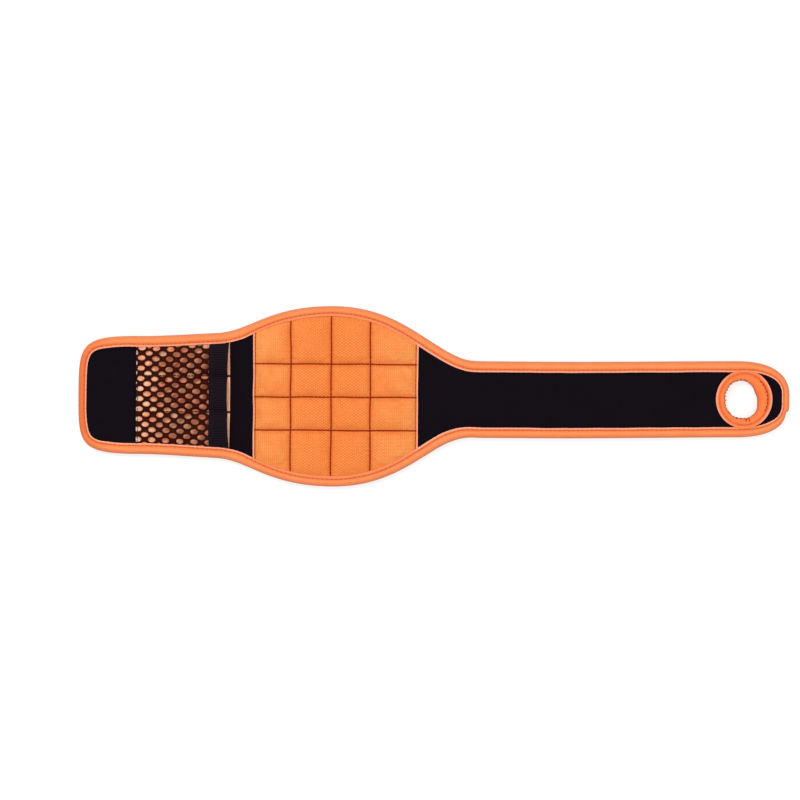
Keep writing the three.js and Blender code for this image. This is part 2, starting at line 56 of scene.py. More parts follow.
# Outline of one half of the band
BAND_LENGTH = 510.0
TAB_END_HALF = 3.0
TAB_CORNER_LENGTH = 42.5
TAB_HALF = 42.3
TAB_CORNER_UP_REACH = 32.7
TAB_CORNER_BACK_REACH = 41.0
TAB_ROOT = 98.9
TAB_ROOT_HALF = 44.8
TAB_SIDE_REACH = 20.0
TAB_ROOT_FLARE = 0.9
BELLY_CREST = 182.7
BELLY_HALF = 64.7
BELLY_TAB_REACH = 23.6
BELLY_TAB_FLARE = 1.1
CREST_TAB_REACH = 47.5
CREST_STRAP_REACH = 53.5
STRAP_START = 284.0
STRAP_START_REACH = 28.3
STRAP_HALF = 27.5
THUMB_HALF = 27.3
THUMB_CURVE = 472.3
THUMB_CURVE_REACH = 22.5
THUMB_END_REACH = 17.0
THUMB_END_HALF = 3.0

# The strap lies a little off the middle line: how far, where that starts and where it ends
STRAP_DRIFT = -1.6
DRIFT_RISE = (255.0, 292.0)
DRIFT_FALL = (330.0, 500.0)

# Where the band is cut into stretches, each of which spans one fold
STRAP_CUT_NEAR = 295.3
STRAP_CUT_FAR = 377.8
STRETCHES = {
    "tab": {"span": (0.0, BELLY_CREST), "bodies": ("tab", "belly"), "bend": (111.0, 124.6)},
    "belly": {
        "span": (BELLY_CREST, STRAP_CUT_NEAR),
        "bodies": ("belly", "near_strap"),
        "bend": (243.9, 255.7),
    },
    "strap": {
        "span": (STRAP_CUT_NEAR, STRAP_CUT_FAR),
        "bodies": ("near_strap", "far_strap"),
        "bend": (334.8, 346.8),
    },
    "thumb": {
        "span": (STRAP_CUT_FAR, BAND_LENGTH),
        "bodies": ("far_strap", "thumb_loop"),
        "bend": (408.8, 420.8),
    },
}
FOLD_HEIGHT = 2.5

# Binding tape: its width and the seam's distance from the edge change along the band
TAPE_WIDTH = 7.9
TAPE_PLACES = (0.0, 5.0, 20.0, 60.0, 116.0, 125.0, 145.0, 185.0, 225.0, 262.0, 300.0, 470.0, 500.0, 510.0)
TAPE_WIDTHS = (6.0, 6.4, 7.6, 7.9, 7.9, 7.2, 7.5, 7.5, 7.7, 7.9, 8.0, 7.8, 6.6, 5.6)
SEW_INSETS = (4.4, 4.7, 5.8, 6.2, 6.2, 5.4, 5.3, 5.1, 5.4, 5.8, 6.2, 6.1, 5.0, 4.2)
SEW_INSET = 5.8
TAPE_EDGE_INSET = 8.1
LOWER_STRAP_LESS = 0.5
LOWER_STRAP_SPAN = (262.0, 500.0)
LOWER_STRAP_FADE = 30.0
TAPE_STEP = 0.8
SEAM_SWAY = 0.12
ROLL_WIDTH = 2.3
SEW_PITCH = 3.3
SEW_STITCH_LENGTH = SEW_PITCH * 0.78
SEW_THREAD_RADIUS = 0.24
SEW_HEIGHTS = ((4.72, 1), (0.2, -1))
POCKET_LIFT = 0.7
POCKET_SIDE_START = 20.0
LAP_END = -8.8
LAP_FADE = 11.0
LAP_STEP = 1.3
THUMB_END_START = 470.0

# Unevenness of the cloth: depth, size of its lumps and seed of each layer of noise
LIP_WOBBLE = ((0.22, 21.0, 3.1), (0.1, 6.0, 9.4))
CROWN_SWELL = ((0.16, 15.0, 5.7), (0.07, 4.0, 2.3))
FACE_WAVES = ((0.08, 13.0, 7.7), (0.04, 3.5, 1.2))

# Pocket
RIB_PITCH = 1.7
POCKET_START = 41.6
HEM_START = 94.3
POCKET_MOUTH = 106.9
MOUTH_EDGE = 108.9
POCKET_SEAMS = (-11.8, 14.0)
POCKET_RISE = 4.6
POCKET_RISE_LENGTH = 39.2
ARCH_POWER = 2.5
MOUTH_MIDDLE = 1.6
MOUTH_HALF = 37
LINING_BOW = 0.5
HEM_BOW = 1.3

# Quilted panel
PANEL_COLUMNS = (125.4, 152.3, 181.3, 209.3, 243.6)
PANEL_SPAN = (PANEL_COLUMNS[0], PANEL_COLUMNS[-1])
ROW_SEAM = 23.8
ROW_MIDDLE = -0.7
ROW_SEAMS = (ROW_MIDDLE - ROW_SEAM, ROW_MIDDLE, ROW_MIDDLE + ROW_SEAM)
HEM_SEW_INSET = 1.7
MAGNET_TOP = 6.0
MAGNET_RADIUS = 8.0
CLOTH = 0.75
SEAM_HIGH = 4.25
PANEL_STEP = 0.85
PANEL_SIDE_INSET = 6.2

# Thumb hole and its ring
HOLE_X = 475.6
HOLE_Y = 0.0
HOLE_HALF_LENGTH = 11.7
HOLE_HALF_WIDTH = 13.5
RING_X = 477.3
RING_HALF_LENGTH = 20.2
RING_HALF_WIDTH = 21.0
RING_SEW_INSET = 2.6

# Hook patch
HOOK_SPAN = (12.0, 78.8)
HOOK_HALF = 31.0
HOOK_CORNER = 5.0
HOOK_PITCH = 1.6


def srgb(red, green, blue):
    """A screen colour of 0 to 255 as the linear colour that shaders take."""
    shares = [value / 255 for value in (red, green, blue)]
    linear = [s / 12.92 if s <= 0.04045 else ((s + 0.055) / 1.055) ** 2.4 for s in shares]
    return (*linear, 1.0)


def ease(value):
    """0 to 1 with a soft start and end."""
    share = np.clip(value, 0, 1)
    return share * share * (3 - 2 * share)


def bump_at(value, centre, reach):
    """A smooth bump of height 1 at a centre."""
    return np.exp(-(((value - centre) / reach) ** 2))


def drift(points, size, seed):
    """Smooth noise at each point, about -1 to 1, with lumps of the given size."""
    return np.array([noise.noise(Vector((x / size, y / size, seed))) for x, y in points])


def uneven(points, layers):
    """Several layers of smooth noise together, each with its depth, size and seed."""
    return sum(depth * drift(points, size, seed) for depth, size, seed in layers)


# Outline


def bezier(corners, count=160):
    """Points along a curve that is led by four corners."""
    share = np.linspace(0, 1, count)[:, None]
    a, b, c, d = (np.array(corner, float) for corner in corners)
    back = 1 - share
    return back**3 * a + 3 * back**2 * share * b + 3 * back * share**2 * c + share**3 * d


def half_outline():
    """The upper half of the outline, from the middle of the tab's end to the middle of the thumb's end."""
    tab_corner = [
        (0, TAB_END_HALF),
        (0, TAB_END_HALF + TAB_CORNER_UP_REACH),
        (TAB_CORNER_LENGTH - TAB_CORNER_BACK_REACH, TAB_HALF),
        (TAB_CORNER_LENGTH, TAB_HALF),
    ]
    tab_side = [
        (TAB_CORNER_LENGTH, TAB_HALF),
        (TAB_CORNER_LENGTH + TAB_SIDE_REACH, TAB_HALF),
        (TAB_ROOT - TAB_SIDE_REACH, TAB_ROOT_HALF - TAB_ROOT_FLARE),
        (TAB_ROOT, TAB_ROOT_HALF),
    ]
    belly_rise = [
        (TAB_ROOT, TAB_ROOT_HALF),
        (TAB_ROOT + BELLY_TAB_REACH, TAB_ROOT_HALF + BELLY_TAB_FLARE),
        (BELLY_CREST - CREST_TAB_REACH, BELLY_HALF),
        (BELLY_CREST, BELLY_HALF),
    ]
    belly_fall = [
        (BELLY_CREST, BELLY_HALF),
        (BELLY_CREST + CREST_STRAP_REACH, BELLY_HALF),
        (STRAP_START - STRAP_START_REACH, STRAP_HALF),
        (STRAP_START, STRAP_HALF),
    ]
    thumb_end = [
        (THUMB_CURVE, THUMB_HALF),
        (THUMB_CURVE + THUMB_CURVE_REACH, THUMB_HALF),
        (BAND_LENGTH, THUMB_END_HALF + THUMB_END_REACH),
        (BAND_LENGTH, THUMB_END_HALF),
    ]
    stretches = [np.array([(0.0, 0.0)])]
    stretches += [bezier(corners) for corners in (tab_corner, tab_side, belly_rise, belly_fall, thumb_end)]
    stretches.append(np.array([(BAND_LENGTH, 0.0)]))
    points = np.concatenate(stretches)
    steps = np.linalg.norm(np.diff(points, axis=0), axis=1)
    points = points[np.concatenate([[True], steps > 1e-6])]
    run = np.concatenate([[0], np.cumsum(np.linalg.norm(np.diff(points, axis=0), axis=1))])
    fine = np.linspace(0, run[-1], int(run[-1] / 0.2))
    return np.column_stack([np.interp(fine, run, points[:, 0]), np.interp(fine, run, points[:, 1])])


def length_along(points):
    """Distance along a line at each of its points."""
    return np.concatenate([[0], np.cumsum(np.linalg.norm(np.diff(points, axis=0), axis=1))])


OUTLINE = half_outline()
RUN = length_along(OUTLINE)
TANGENT = np.gradient(OUTLINE, axis=0)
TANGENT /= np.linalg.norm(TANGENT, axis=1)[:, None]
INWARD = np.column_stack([TANGENT[:, 1], -TANGENT[:, 0]])
SEW_RUN = length_along(OUTLINE + SEW_INSET * INWARD)
TOP_SIDE = slice(int(np.argmax(OUTLINE[:, 0] > 0)), int(np.argmax(OUTLINE[:, 0] >= BAND_LENGTH - 1e-6)))


def run_at(x):
    """Distance along the outline at which its upper side reaches x."""
    return float(np.interp(x, OUTLINE[TOP_SIDE, 0], RUN[TOP_SIDE]))


def on_outline(runs):
    """Place at distances along the outline, and the direction in from it."""
    x, y = (np.interp(runs, RUN, OUTLINE[:, axis]) for axis in (0, 1))
    inward = np.column_stack([np.interp(runs, RUN, INWARD[:, axis]) for axis in (0, 1)])
    return x, y, inward


def half_width(x, inset=0.0):
    """Half width of the band at x, a distance in from its edge."""
    line = OUTLINE + inset * INWARD
    xs = np.maximum.accumulate(line[:, 0]) + np.arange(len(line)) * 1e-9
    return np.interp(x, xs, line[:, 1])


def depth_in(points):
    """Rough distance of points in from the outline."""
    x, y = points[:, 0], points[:, 1]
    return np.minimum(half_width(x) - np.abs(y), np.minimum(x, BAND_LENGTH - x))


# Meshes


def in_frame(points):
    """Points in millimetres from the tab's end as points of the frame, in metres, with the strap's drift."""
    placed = np.array(points, float).reshape(-1, 3)
    rise = ease((placed[:, 0] - DRIFT_RISE[0]) / (DRIFT_RISE[1] - DRIFT_RISE[0]))
    fall = 1 - ease((placed[:, 0] - DRIFT_FALL[0]) / (DRIFT_FALL[1] - DRIFT_FALL[0]))
    placed[:, 1] += STRAP_DRIFT * rise * fall
    placed[:, 0] -= BAND_LENGTH / 2
    return placed * MM


def add_object(name, data):
    """Puts a mesh, lamp or camera in the scene."""
    holder = bpy.data.objects.new(name, data)
    bpy.context.scene.collection.objects.link(holder)
    return holder


def make_piece(name, points, faces, material, cloth, angle=50):
    """A mesh object with smooth shading, and a place on the cloth at each vertex for its weave."""
    mesh = bpy.data.meshes.new(name)
    mesh.from_pydata(in_frame(points).tolist(), [], [list(map(int, face)) for face in faces])
    mesh.materials.append(material)
    place = mesh.attributes.new("cloth", "FLOAT_VECTOR", "POINT")
    place.data.foreach_set("vector", np.asarray(cloth, np.float32).ravel())
    shell = bmesh.new()
    shell.from_mesh(mesh)
    bmesh.ops.recalc_face_normals(shell, faces=shell.faces)
    shell.to_mesh(mesh)
    shell.free()
    mesh.shade_smooth()
    mesh.set_sharp_from_angle(angle=math.radians(angle))
    return add_object(name, mesh)


def grid_faces(rows, columns, closed=False, first=0):
    """Faces of a grid of points that is stored row by row."""
    down = np.arange(rows - 1)[:, None]
    across = np.arange(columns if closed else columns - 1)[None, :]
    beside = (across + 1) % columns
    a, b = down * columns + across, down * columns + beside
    return (first + np.stack([a, b, b + columns, a + columns], axis=-1)).reshape(-1, 4)


def grid_plan(xs, ys_at):
    """A plan with one line of points across the band at each x."""
    rows = [ys_at(x) for x in xs]
    plan = np.concatenate([np.column_stack([np.full(len(ys), x), ys]) for x, ys in zip(xs, rows)])
    return plan, grid_faces(len(xs), len(rows[0]))[:, ::-1]


def slab(plan, faces, low, high):
    """Closed body over a plan, with a height for its underside and its top at each point."""
    count = len(plan)
    points = np.concatenate([np.column_stack([plan, low]), np.column_stack([plan, high])])
    top = [[corner + count for corner in face] for face in faces]
    under = [list(face)[::-1] for face in faces]
    edges = set()
    for face in faces:
        edges.update((int(face[i - 1]), int(face[i])) for i in range(len(face)))
    walls = [[a, b, b + count, a + count] for a, b in sorted(edges) if (b, a) not in edges]
    return points, under + top + walls


def tube(sections):
    """Closed body through a row of closed sections, with a flat cap on each end."""
    rows, columns = sections.shape[:2]
    faces = grid_faces(rows, columns, closed=True).tolist()
    faces.append(list(range(columns)))
    faces.append(list(range((rows - 1) * columns, rows * columns)))
    return sections.reshape(-1, 3), faces


def join_parts(parts):
    """Several bodies' points and faces as one."""
    points, faces, first = [], [], 0
    for part_points, part_faces in parts:
        points.append(part_points)
        faces.extend([[first + corner for corner in face] for face in part_faces])
        first += len(part_points)
    return np.concatenate(points), faces


STITCH_STEPS = np.array([-1.0, -0.82, -0.45, 0.0, 0.45, 0.82, 1.0])
STITCH_GIRTHS = np.array([0.15, 0.72, 1.0, 1.0, 1.0, 0.72, 0.15])
STITCH_SIDES = 7
STITCH_DIP = 1.3


def stitches(centres, headings, length, radius, up=1.0):
    """Short lengths of thread, each dipping into the cloth at both ends."""
    turn = np.arange(STITCH_SIDES) * 2 * math.pi / STITCH_SIDES
    bodies = []
    for centre, heading in zip(centres, headings):
        forward = np.array([*heading, 0.0]) / max(1e-9, math.hypot(*heading))
        side = np.array([-forward[1], forward[0], 0.0])
        rings = []
        for step, girth in zip(STITCH_STEPS, STITCH_GIRTHS):
            middle = centre + forward * step * length / 2
            middle = middle - np.array([0, 0, up * radius * STITCH_DIP * step**4])
            spread = np.outer(np.cos(turn), side) + np.outer(np.sin(turn), [0, 0, 1])
            rings.append(middle + spread * radius * girth)
        bodies.append(tube(np.array(rings)))
    return join_parts(bodies)


def sew(name, parts, thread, body):
    """Joins lengths of thread to one piece that rides on a body."""
    points, faces = join_parts(parts)
    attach(make_piece(name, points, faces, thread, points), body)


def stand_for(piece, node, body):
    """Puts a piece in place of a solid, which it hides, on that solid's body."""
    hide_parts(node)
    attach(piece, body)


def evenly(start, end, pitch):
    """Middles of as many equal steps as fit best between two places."""
    count = max(1, round((end - start) / pitch))
    return start + (np.arange(count) + 0.5) * (end - start) / count


# Shader parts


class Shader:
    """Adds nodes to a tree, with links or values for their inputs."""

    def __init__(self, tree):
        self.tree = tree

    def add(self, kind, settings=None, **inputs):
        """A new node with its settings and its inputs by name."""
        node = self.tree.nodes.new("ShaderNode" + kind)
        for key, value in (settings or {}).items():
            setattr(node, key, value)
        for key, value in inputs.items():
            self.set(node.inputs[key.replace("_", " ")], value)
        return node

    def set(self, socket, value):
        """Links a socket, or gives it a value."""
        if isinstance(value, bpy.types.NodeSocket):
            self.tree.links.new(value, socket)
        else:
            socket.default_value = value

    def math(self, operation, *values):
        """A sum, product or other result of values."""
        node = self.add("Math", {"operation": operation})
        for socket, value in zip(node.inputs, values):
            self.set(socket, value)
        return node.outputs[0]

    def rest(self, value):
        """What a value leaves of 1."""
        return self.math("SUBTRACT", 1.0, value)

    def mix(self, share, first, second):
        """Two colours mixed."""
        node = self.add("Mix", {"data_type": "RGBA"})
        for index, value in ((0, share), (6, first), (7, second)):
            self.set(node.inputs[index], value)
        return node.outputs[2]

    def ramp(self, value, reach, tones):
        """Colours along a value from 0 to its reach."""
        node = self.add("ValToRGB", None, Fac=self.spread(value, 0.0, reach))
        stops = node.color_ramp.elements
        for place, tone in tones[1:-1]:
            stops.new(place / reach).color = tone
        stops[0].color, stops[-1].color = tones[0][1], tones[-1][1]
        return node.outputs[0]

    def band(self, value, centre, full, faded):
        """1 near a centre, fading to 0."""
        away = self.math("ABSOLUTE", self.math("SUBTRACT", value, centre))
        return self.rest(self.spread(away, full, faded))

    def tint(self, colour, mask, strength, tone):
        """A colour drawn towards a tone where a mask says so."""
        return self.mix(self.math("MULTIPLY", mask, strength), colour, tone)

    def spread(self, value, low, high):
        """Value from low to high as 0 to 1."""
        node = self.add("MapRange", {"clamp": True}, Value=value, From_Min=low, From_Max=high)
        return node.outputs[0]


def node_group(name, inputs, outputs):
    """An empty group of nodes with named sockets, and the means to fill it."""
    group = bpy.data.node_groups.new(name, "ShaderNodeTree")
    for socket_name, kind, value in inputs:
        kind = "NodeSocket" + kind
        socket = group.interface.new_socket(socket_name, in_out="INPUT", socket_type=kind)
        if value is not None:
            socket.default_value = value
    for socket_name, kind in outputs:
        group.interface.new_socket(socket_name, in_out="OUTPUT", socket_type="NodeSocket" + kind)
    shader = Shader(group)
    start = group.nodes.new("NodeGroupInput").outputs
    end = group.nodes.new("NodeGroupOutput").inputs
    return group, shader, start, end


def weave_group():
    """Plain weave: threads that go over and under each other. Gives their height, tone and which is over."""
    group, shader, start, end = node_group(
        "plain_weave",
        [("Place", "Vector", None), ("Pitch", "Float", 0.8)],
        [("Height", "Float"), ("Tone", "Float"), ("Over", "Float")],
    )
    parts = shader.add("SeparateXYZ", Vector=start["Place"])
    waves, threads = [], []
    for axis in (0, 1):
        count = shader.math("DIVIDE", parts.outputs[axis], start["Pitch"])
        threads.append(shader.math("FLOOR", count))
        waves.append(shader.math("SINE", shader.math("MULTIPLY", count, math.pi)))
    over = shader.math("GREATER_THAN", shader.math("MULTIPLY", *waves), 0.0)
    backs = [shader.math("POWER", shader.math("ABSOLUTE", wave), 0.6) for wave in waves]
    rise = shader.math("MULTIPLY", *[shader.math("ABSOLUTE", wave) for wave in waves])
    warp = shader.math("MULTIPLY", over, backs[1])
    weft = shader.math("MULTIPLY", shader.rest(over), backs[0])
    height = shader.math("ADD", shader.math("ADD", warp, weft), shader.math("MULTIPLY", rise, 0.6))
    shader.set(end["Height"], shader.math("MULTIPLY", height, 0.6))
    thread = shader.add("CombineXYZ", X=threads[0], Y=threads[1], Z=over)
    tone = shader.add("TexWhiteNoise", {"noise_dimensions": "3D"}, Vector=thread.outputs[0])
    shader.set(end["Tone"], tone.outputs["Value"])
    shader.set(end["Over"], over)
    return group


def mottle_group():
    """Uneven tone: a wide and a fine noise together, 0 to 1."""
    group, shader, start, end = node_group(
        "mottle",
        [("Place", "Vector", None), ("Size", "Float", 12.0), ("Fine Size", "Float", 1.5)],
        [("Tone", "Float")],
    )
    tones = []
    for name, detail in (("Size", 3.0), ("Fine Size", 2.0)):
        scale = shader.math("DIVIDE", 1.0, start[name])
        cloud = shader.add("TexNoise", None, Vector=start["Place"], Scale=scale, Detail=detail)
        cloud.inputs["Roughness"].default_value = 0.55
        tones.append(cloud.outputs["Fac"])
    shader.set(end["Tone"], shader.math("ADD", *[shader.math("MULTIPLY", tone, 0.5) for tone in tones]))
    return group


def fibre_group():
    """Loose fibre ends: short hairs in many directions, as a height."""
    group, shader, start, end = node_group(
        "fibre",
        [("Place", "Vector", None), ("Size", "Float", 0.5)],
        [("Height", "Float")],
    )
    scale = shader.math("DIVIDE", 1.0, start["Size"])
    cells = shader.add("TexVoronoi", {"feature": "F1"}, Vector=start["Place"], Scale=scale, Randomness=1.0)
    hairs = shader.add("TexNoise", None, Vector=start["Place"], Scale=scale, Detail=4.0, Distortion=1.5)
    lumps = shader.rest(cells.outputs["Distance"])
    shader.set(end["Height"], shader.math("MULTIPLY", lumps, hairs.outputs["Fac"]))
    return group


WEAVE = weave_group()
MOTTLE = mottle_group()
FIBRE = fibre_group()


class ClothMaterial(Shader):
    """A material for cloth, with the place on the cloth at hand."""

    def __init__(self, name, roughness, specular, sheen=0.0):
        self.material = bpy.data.materials.new(name)
        self.material.use_nodes = True
        super().__init__(self.material.node_tree)
        self.surface = self.tree.nodes["Principled BSDF"]
        self.surface.inputs["Roughness"].default_value = roughness
        self.surface.inputs["Sheen Weight"].default_value = sheen
        self.surface.inputs["Sheen Roughness"].default_value = 0.5
        self.surface.inputs["Specular IOR Level"].default_value = specular
        self.place = self.add("Attribute", {"attribute_name": "cloth"}).outputs["Vector"]

    def group(self, tree, **inputs):
        """Results of a node group at the place on the cloth."""
        return self.add("Group", {"node_tree": tree}, **{"Place": self.place, **inputs}).outputs

    def stretched(self, *shares):
        """The place on the cloth with its directions scaled."""
        scaled = self.add("VectorMath", {"operation": "MULTIPLY"})
        self.set(scaled.inputs[0], self.place)
        scaled.inputs[1].default_value = shares
        return scaled.outputs[0]

    def dyed(self, size, fine_size, dark, light):
        """Uneven dye between two tones."""
        dye = self.group(MOTTLE, Size=size, Fine_Size=fine_size)
        return self.mix(dye["Tone"], dark, light)

    def finish(self, colour, height, depth):
        """Sets the colour and a bump whose depth is in millimetres."""
        bump = self.add("Bump", None, Height=height, Strength=1.0, Distance=depth * MM)
        self.set(self.surface.inputs["Base Color"], colour)
        self.set(self.surface.inputs["Normal"], bump.outputs[0])
        return self.material


# Tones of the tape from its rolled edge to its lip, each at its distance in: painted shade on the rolled
# edge, a painted highlight on the crown, a darker seam line that is partly painted shade in its groove, and a
# painted highlight on the lip
TAPE_TONES = (
    (0.0, srgb(182, 110, 84)),
    (0.7, srgb(207, 121, 84)),
    (1.6, srgb(231, 124, 72)),
    (3.4, srgb(245, 142, 86)),
    (4.9, srgb(238, 126, 70)),
    (5.8, srgb(214, 102, 54)),
    (6.5, srgb(236, 130, 82)),
    (8.1, srgb(246, 138, 94)),
)
# Tones of the ring round the thumb hole, with the same painted shade on its rolled edge, painted highlights
# on its crown and lip, and darker seam line
RING_TONES = (
    (0.0, srgb(190, 102, 68)),
    (0.8, srgb(234, 108, 52)),
    (3.2, srgb(248, 124, 66)),
    (4.9, srgb(242, 112, 54)),
    (5.8, srgb(210, 84, 38)),
    (6.5, srgb(238, 114, 62)),
    (8.1, srgb(250, 134, 86)),
)


# Tints of the tape: paler patches at random, yarns, painted shade in the needle holes and at the tab's end,
# and a painted highlight on the lip
TAPE_SHADES = {
    "faded": srgb(255, 168, 112),
    "yarn": srgb(216, 108, 52),
    "needle_hole_shade": srgb(140, 52, 24),
    "tab_end_shade": srgb(206, 92, 46),
    "lip": srgb(255, 172, 144),
}
# Tones of the panel: random dye, pale blotches, yarns, painted shade between the yarns and beside and in the
# seams, a painted highlight on the folded ends, and the hem's seam line
PANEL_SHADES = {
    "dark": srgb(236, 110, 34),
    "light": srgb(243, 130, 52),
    "pale_blotches": srgb(255, 190, 118),
    "upper_yarn": srgb(248, 168, 98),
    "pale_yarn": srgb(252, 170, 96),
    "shade_between_yarns": srgb(204, 84, 22),
    "shade_beside_seam": srgb(216, 86, 24),
    "in_seam": srgb(146, 38, 4),
    "folded_end_highlight": srgb(255, 176, 150),
    "hem_seam": srgb(120, 46, 34),
}
# Tones of the pocket's lining: blotches, yarns, painted shadow near the hem, painted light at the mouth, and
# the pale frayed ends
POCKET_SHADES = {
    "dark": srgb(242, 134, 96),
    "light": srgb(255, 200, 160),
    "yarn": srgb(222, 116, 74),
    "shadow_near_hem": srgb(232, 112, 80),
    "mouth": srgb(255, 196, 160),
    "frayed_end": srgb(214, 204, 204),
}


def tape_material(name, tones, holes, end_shade):
    """Woven binding tape, with a painted highlight on its crown and lip, and painted shade in the needle
    holes, on the rolled edge and at the tab's end.
    """
    cloth = ClothMaterial(name, roughness=0.85, specular=0.12)
    place = cloth.add("SeparateXYZ", Vector=cloth.place).outputs
    inset = place[1]
    weave = cloth.group(WEAVE, Pitch=0.5)
    dye = cloth.group(MOTTLE, Size=16.0, Fine_Size=1.1)
    body = cloth.ramp(inset, TAPE_EDGE_INSET, tones)
    body = cloth.tint(body, cloth.spread(dye["Tone"], 0.35, 0.7), 0.25, TAPE_SHADES["faded"])
    body = cloth.tint(body, weave["Tone"], 0.14, TAPE_SHADES["yarn"])
    # Painted shade in the needle holes at the ends of each stitch, along the seam
    step = cloth.math("FRACT", cloth.math("DIVIDE", place[0], SEW_PITCH))
    hole = cloth.rest(cloth.band(step, 0.5, 0.3, 0.45))
    hole = cloth.math("MULTIPLY", hole, cloth.band(inset, SEW_INSET, 0.15, 0.6))
    body = cloth.tint(body, hole, holes, TAPE_SHADES["needle_hole_shade"])
    # Painted shade on the tape near the tab's end
    body = cloth.tint(body, cloth.band(place[0], 0.0, 26.0, 48.0), end_shade, TAPE_SHADES["tab_end_shade"])
    # Painted highlight along the tape's folded lip, hidden where the lip is covered
    bare = cloth.rest(cloth.spread(place[2], 0.0, 1.0))
    lip = cloth.math("MULTIPLY", cloth.spread(inset, 6.7, 7.4), bare)
    body = cloth.tint(body, lip, 0.85, TAPE_SHADES["lip"])
    return cloth.finish(body, weave["Height"], 0.12)


def panel_material():
    """Coarse nylon whose yarns step diagonally, dark where it is sewn down, with painted shade between its
    yarns and beside and in its seams, and a painted highlight on its folded ends.
    """
    cloth = ClothMaterial("panel_nylon", roughness=0.8, specular=0.15)
    place = cloth.add("SeparateXYZ", Vector=cloth.place).outputs
    weave = cloth.group(WEAVE, Place=cloth.stretched(0.68, 1.0, 1.0), Pitch=0.97)
    # Paler blotches towards the panel's outer columns
    pale_blotches = cloth.spread(cloth.group(MOTTLE, Size=22.0, Fine_Size=9.0)["Tone"], 0.3, 0.62)
    body = cloth.dyed(24.0, 1.3, PANEL_SHADES["dark"], PANEL_SHADES["light"])
    to_side = cloth.spread(cloth.math("ABSOLUTE", cloth.math("SUBTRACT", place[0], BELLY_CREST)), 18.0, 52.0)
    body = cloth.tint(body, cloth.math("MULTIPLY", pale_blotches, to_side), 0.45, PANEL_SHADES["pale_blotches"])
    body = cloth.tint(body, weave["Over"], 0.5, PANEL_SHADES["upper_yarn"])
    body = cloth.tint(body, weave["Tone"], 0.2, PANEL_SHADES["pale_yarn"])
    # Painted shade in the hollows between the yarns
    body = cloth.tint(body, cloth.rest(weave["Height"]), 0.5, PANEL_SHADES["shade_between_yarns"])
    to_seam = place[2]
    # Painted shade beside the seams, where the puffed cloth dips
    body = cloth.tint(body, cloth.band(to_seam, 0.0, 0.6, 3.6), 0.3, PANEL_SHADES["shade_beside_seam"])
    # Dark brown in the seams: the thread's colour, and painted shade in their grooves
    body = cloth.tint(body, cloth.band(to_seam, 0.0, 0.3, 0.8), 0.9, PANEL_SHADES["in_seam"])
    to_start = cloth.math("SUBTRACT", place[0], PANEL_SPAN[0])
    to_end = cloth.math("MINIMUM", to_start, cloth.math("SUBTRACT", PANEL_SPAN[1], place[0]))
    # Painted highlight on the panel's folded ends
    body = cloth.tint(body, cloth.band(to_end, 0.0, 0.6, 1.3), 0.75, PANEL_SHADES["folded_end_highlight"])
    body = cloth.tint(body, cloth.band(to_end, HEM_SEW_INSET, 0.2, 0.5), 0.5, PANEL_SHADES["hem_seam"])
    return cloth.finish(body, weave["Height"], 0.3)


def pocket_lining_material():
    """The pocket's lining: the nylon with its smooth side out, in pale and darker blotches, with painted
    shadow towards the hem, painted light at the mouth, and pale at both ends.
    """
    cloth = ClothMaterial("pocket_nylon", roughness=0.7, specular=0.15)
    place = cloth.add("SeparateXYZ", Vector=cloth.place).outputs
    weave = cloth.group(WEAVE, Pitch=0.7)
    dye = cloth.group(MOTTLE, Size=15.0, Fine_Size=4.0)
    pale_blotches = cloth.spread(dye["Tone"], 0.4, 0.58)
    body = cloth.mix(pale_blotches, POCKET_SHADES["dark"], POCKET_SHADES["light"])
    body = cloth.tint(body, weave["Tone"], 0.15, POCKET_SHADES["yarn"])
    # Painted shadow of the raised net and hem on the lining, darker towards the hem
    shadow_near_hem = cloth.spread(place[0], 66.0, HEM_START)
    body = cloth.tint(body, shadow_near_hem, 0.45, POCKET_SHADES["shadow_near_hem"])
    # Painted light on the strip of lining at the mouth, paler than the shaded lining under the hem
    near_mouth = cloth.spread(place[0], POCKET_MOUTH - 1.5, POCKET_MOUTH)
    body = cloth.tint(body, near_mouth, 0.7, POCKET_SHADES["mouth"])
    for middle in (POCKET_START + 0.9, HEM_START - 0.2):
        body = cloth.tint(body, cloth.band(place[0], middle, 0.5, 0.9), 0.85, POCKET_SHADES["frayed_end"])
    return cloth.finish(body, weave["Height"], 0.15)


def black_cloth_material(name, dark, light, size, depth):
    """Black cloth with a nap of fine loops."""
    cloth = ClothMaterial(name, roughness=1.0, specular=0.05)
    nap = cloth.group(FIBRE, Size=size)
    body = cloth.dyed(22.0, 1.4, dark, light)
    body = cloth.mix(cloth.math("MULTIPLY", nap["Height"], 0.35), body, light)
    return cloth.finish(body, nap["Height"], depth)


def spacer_material():
    """Knitted spacer mesh for the wrist side, with rows of small open holes."""
    cloth = ClothMaterial("spacer_knit", roughness=0.9, sheen=0.1, specular=0.2)
    spaced = cloth.stretched(0.42, 0.3, 0.3)
    holes = cloth.add("TexVoronoi", {"feature": "F1"}, Vector=spaced, Scale=1.0, Randomness=0.12)
    rim = cloth.spread(holes.outputs["Distance"], 0.18, 0.4)
    dye = cloth.group(MOTTLE, Size=20.0, Fine_Size=1.0)
    # Painted shade in the open holes, near black, with the knit lighter round them
    body = cloth.mix(rim, srgb(8, 8, 10), srgb(38, 37, 41))
    body = cloth.mix(cloth.math("MULTIPLY", dye["Tone"], 0.4), body, srgb(30, 29, 33))
    return cloth.finish(body, rim, 0.4)


def net_material():
    """Knitted net: fine ribs of yarn along each strand."""
    cloth = ClothMaterial("net_black", roughness=0.9, specular=0.02)
    yarn = cloth.group(FIBRE, Size=0.45)
    # Black yarn tinted dark red: painted orange light reflected from the lining and tape
    body = cloth.dyed(9.0, 0.7, srgb(38, 9, 5), srgb(62, 21, 11))
    return cloth.finish(body, yarn["Height"], 0.16)


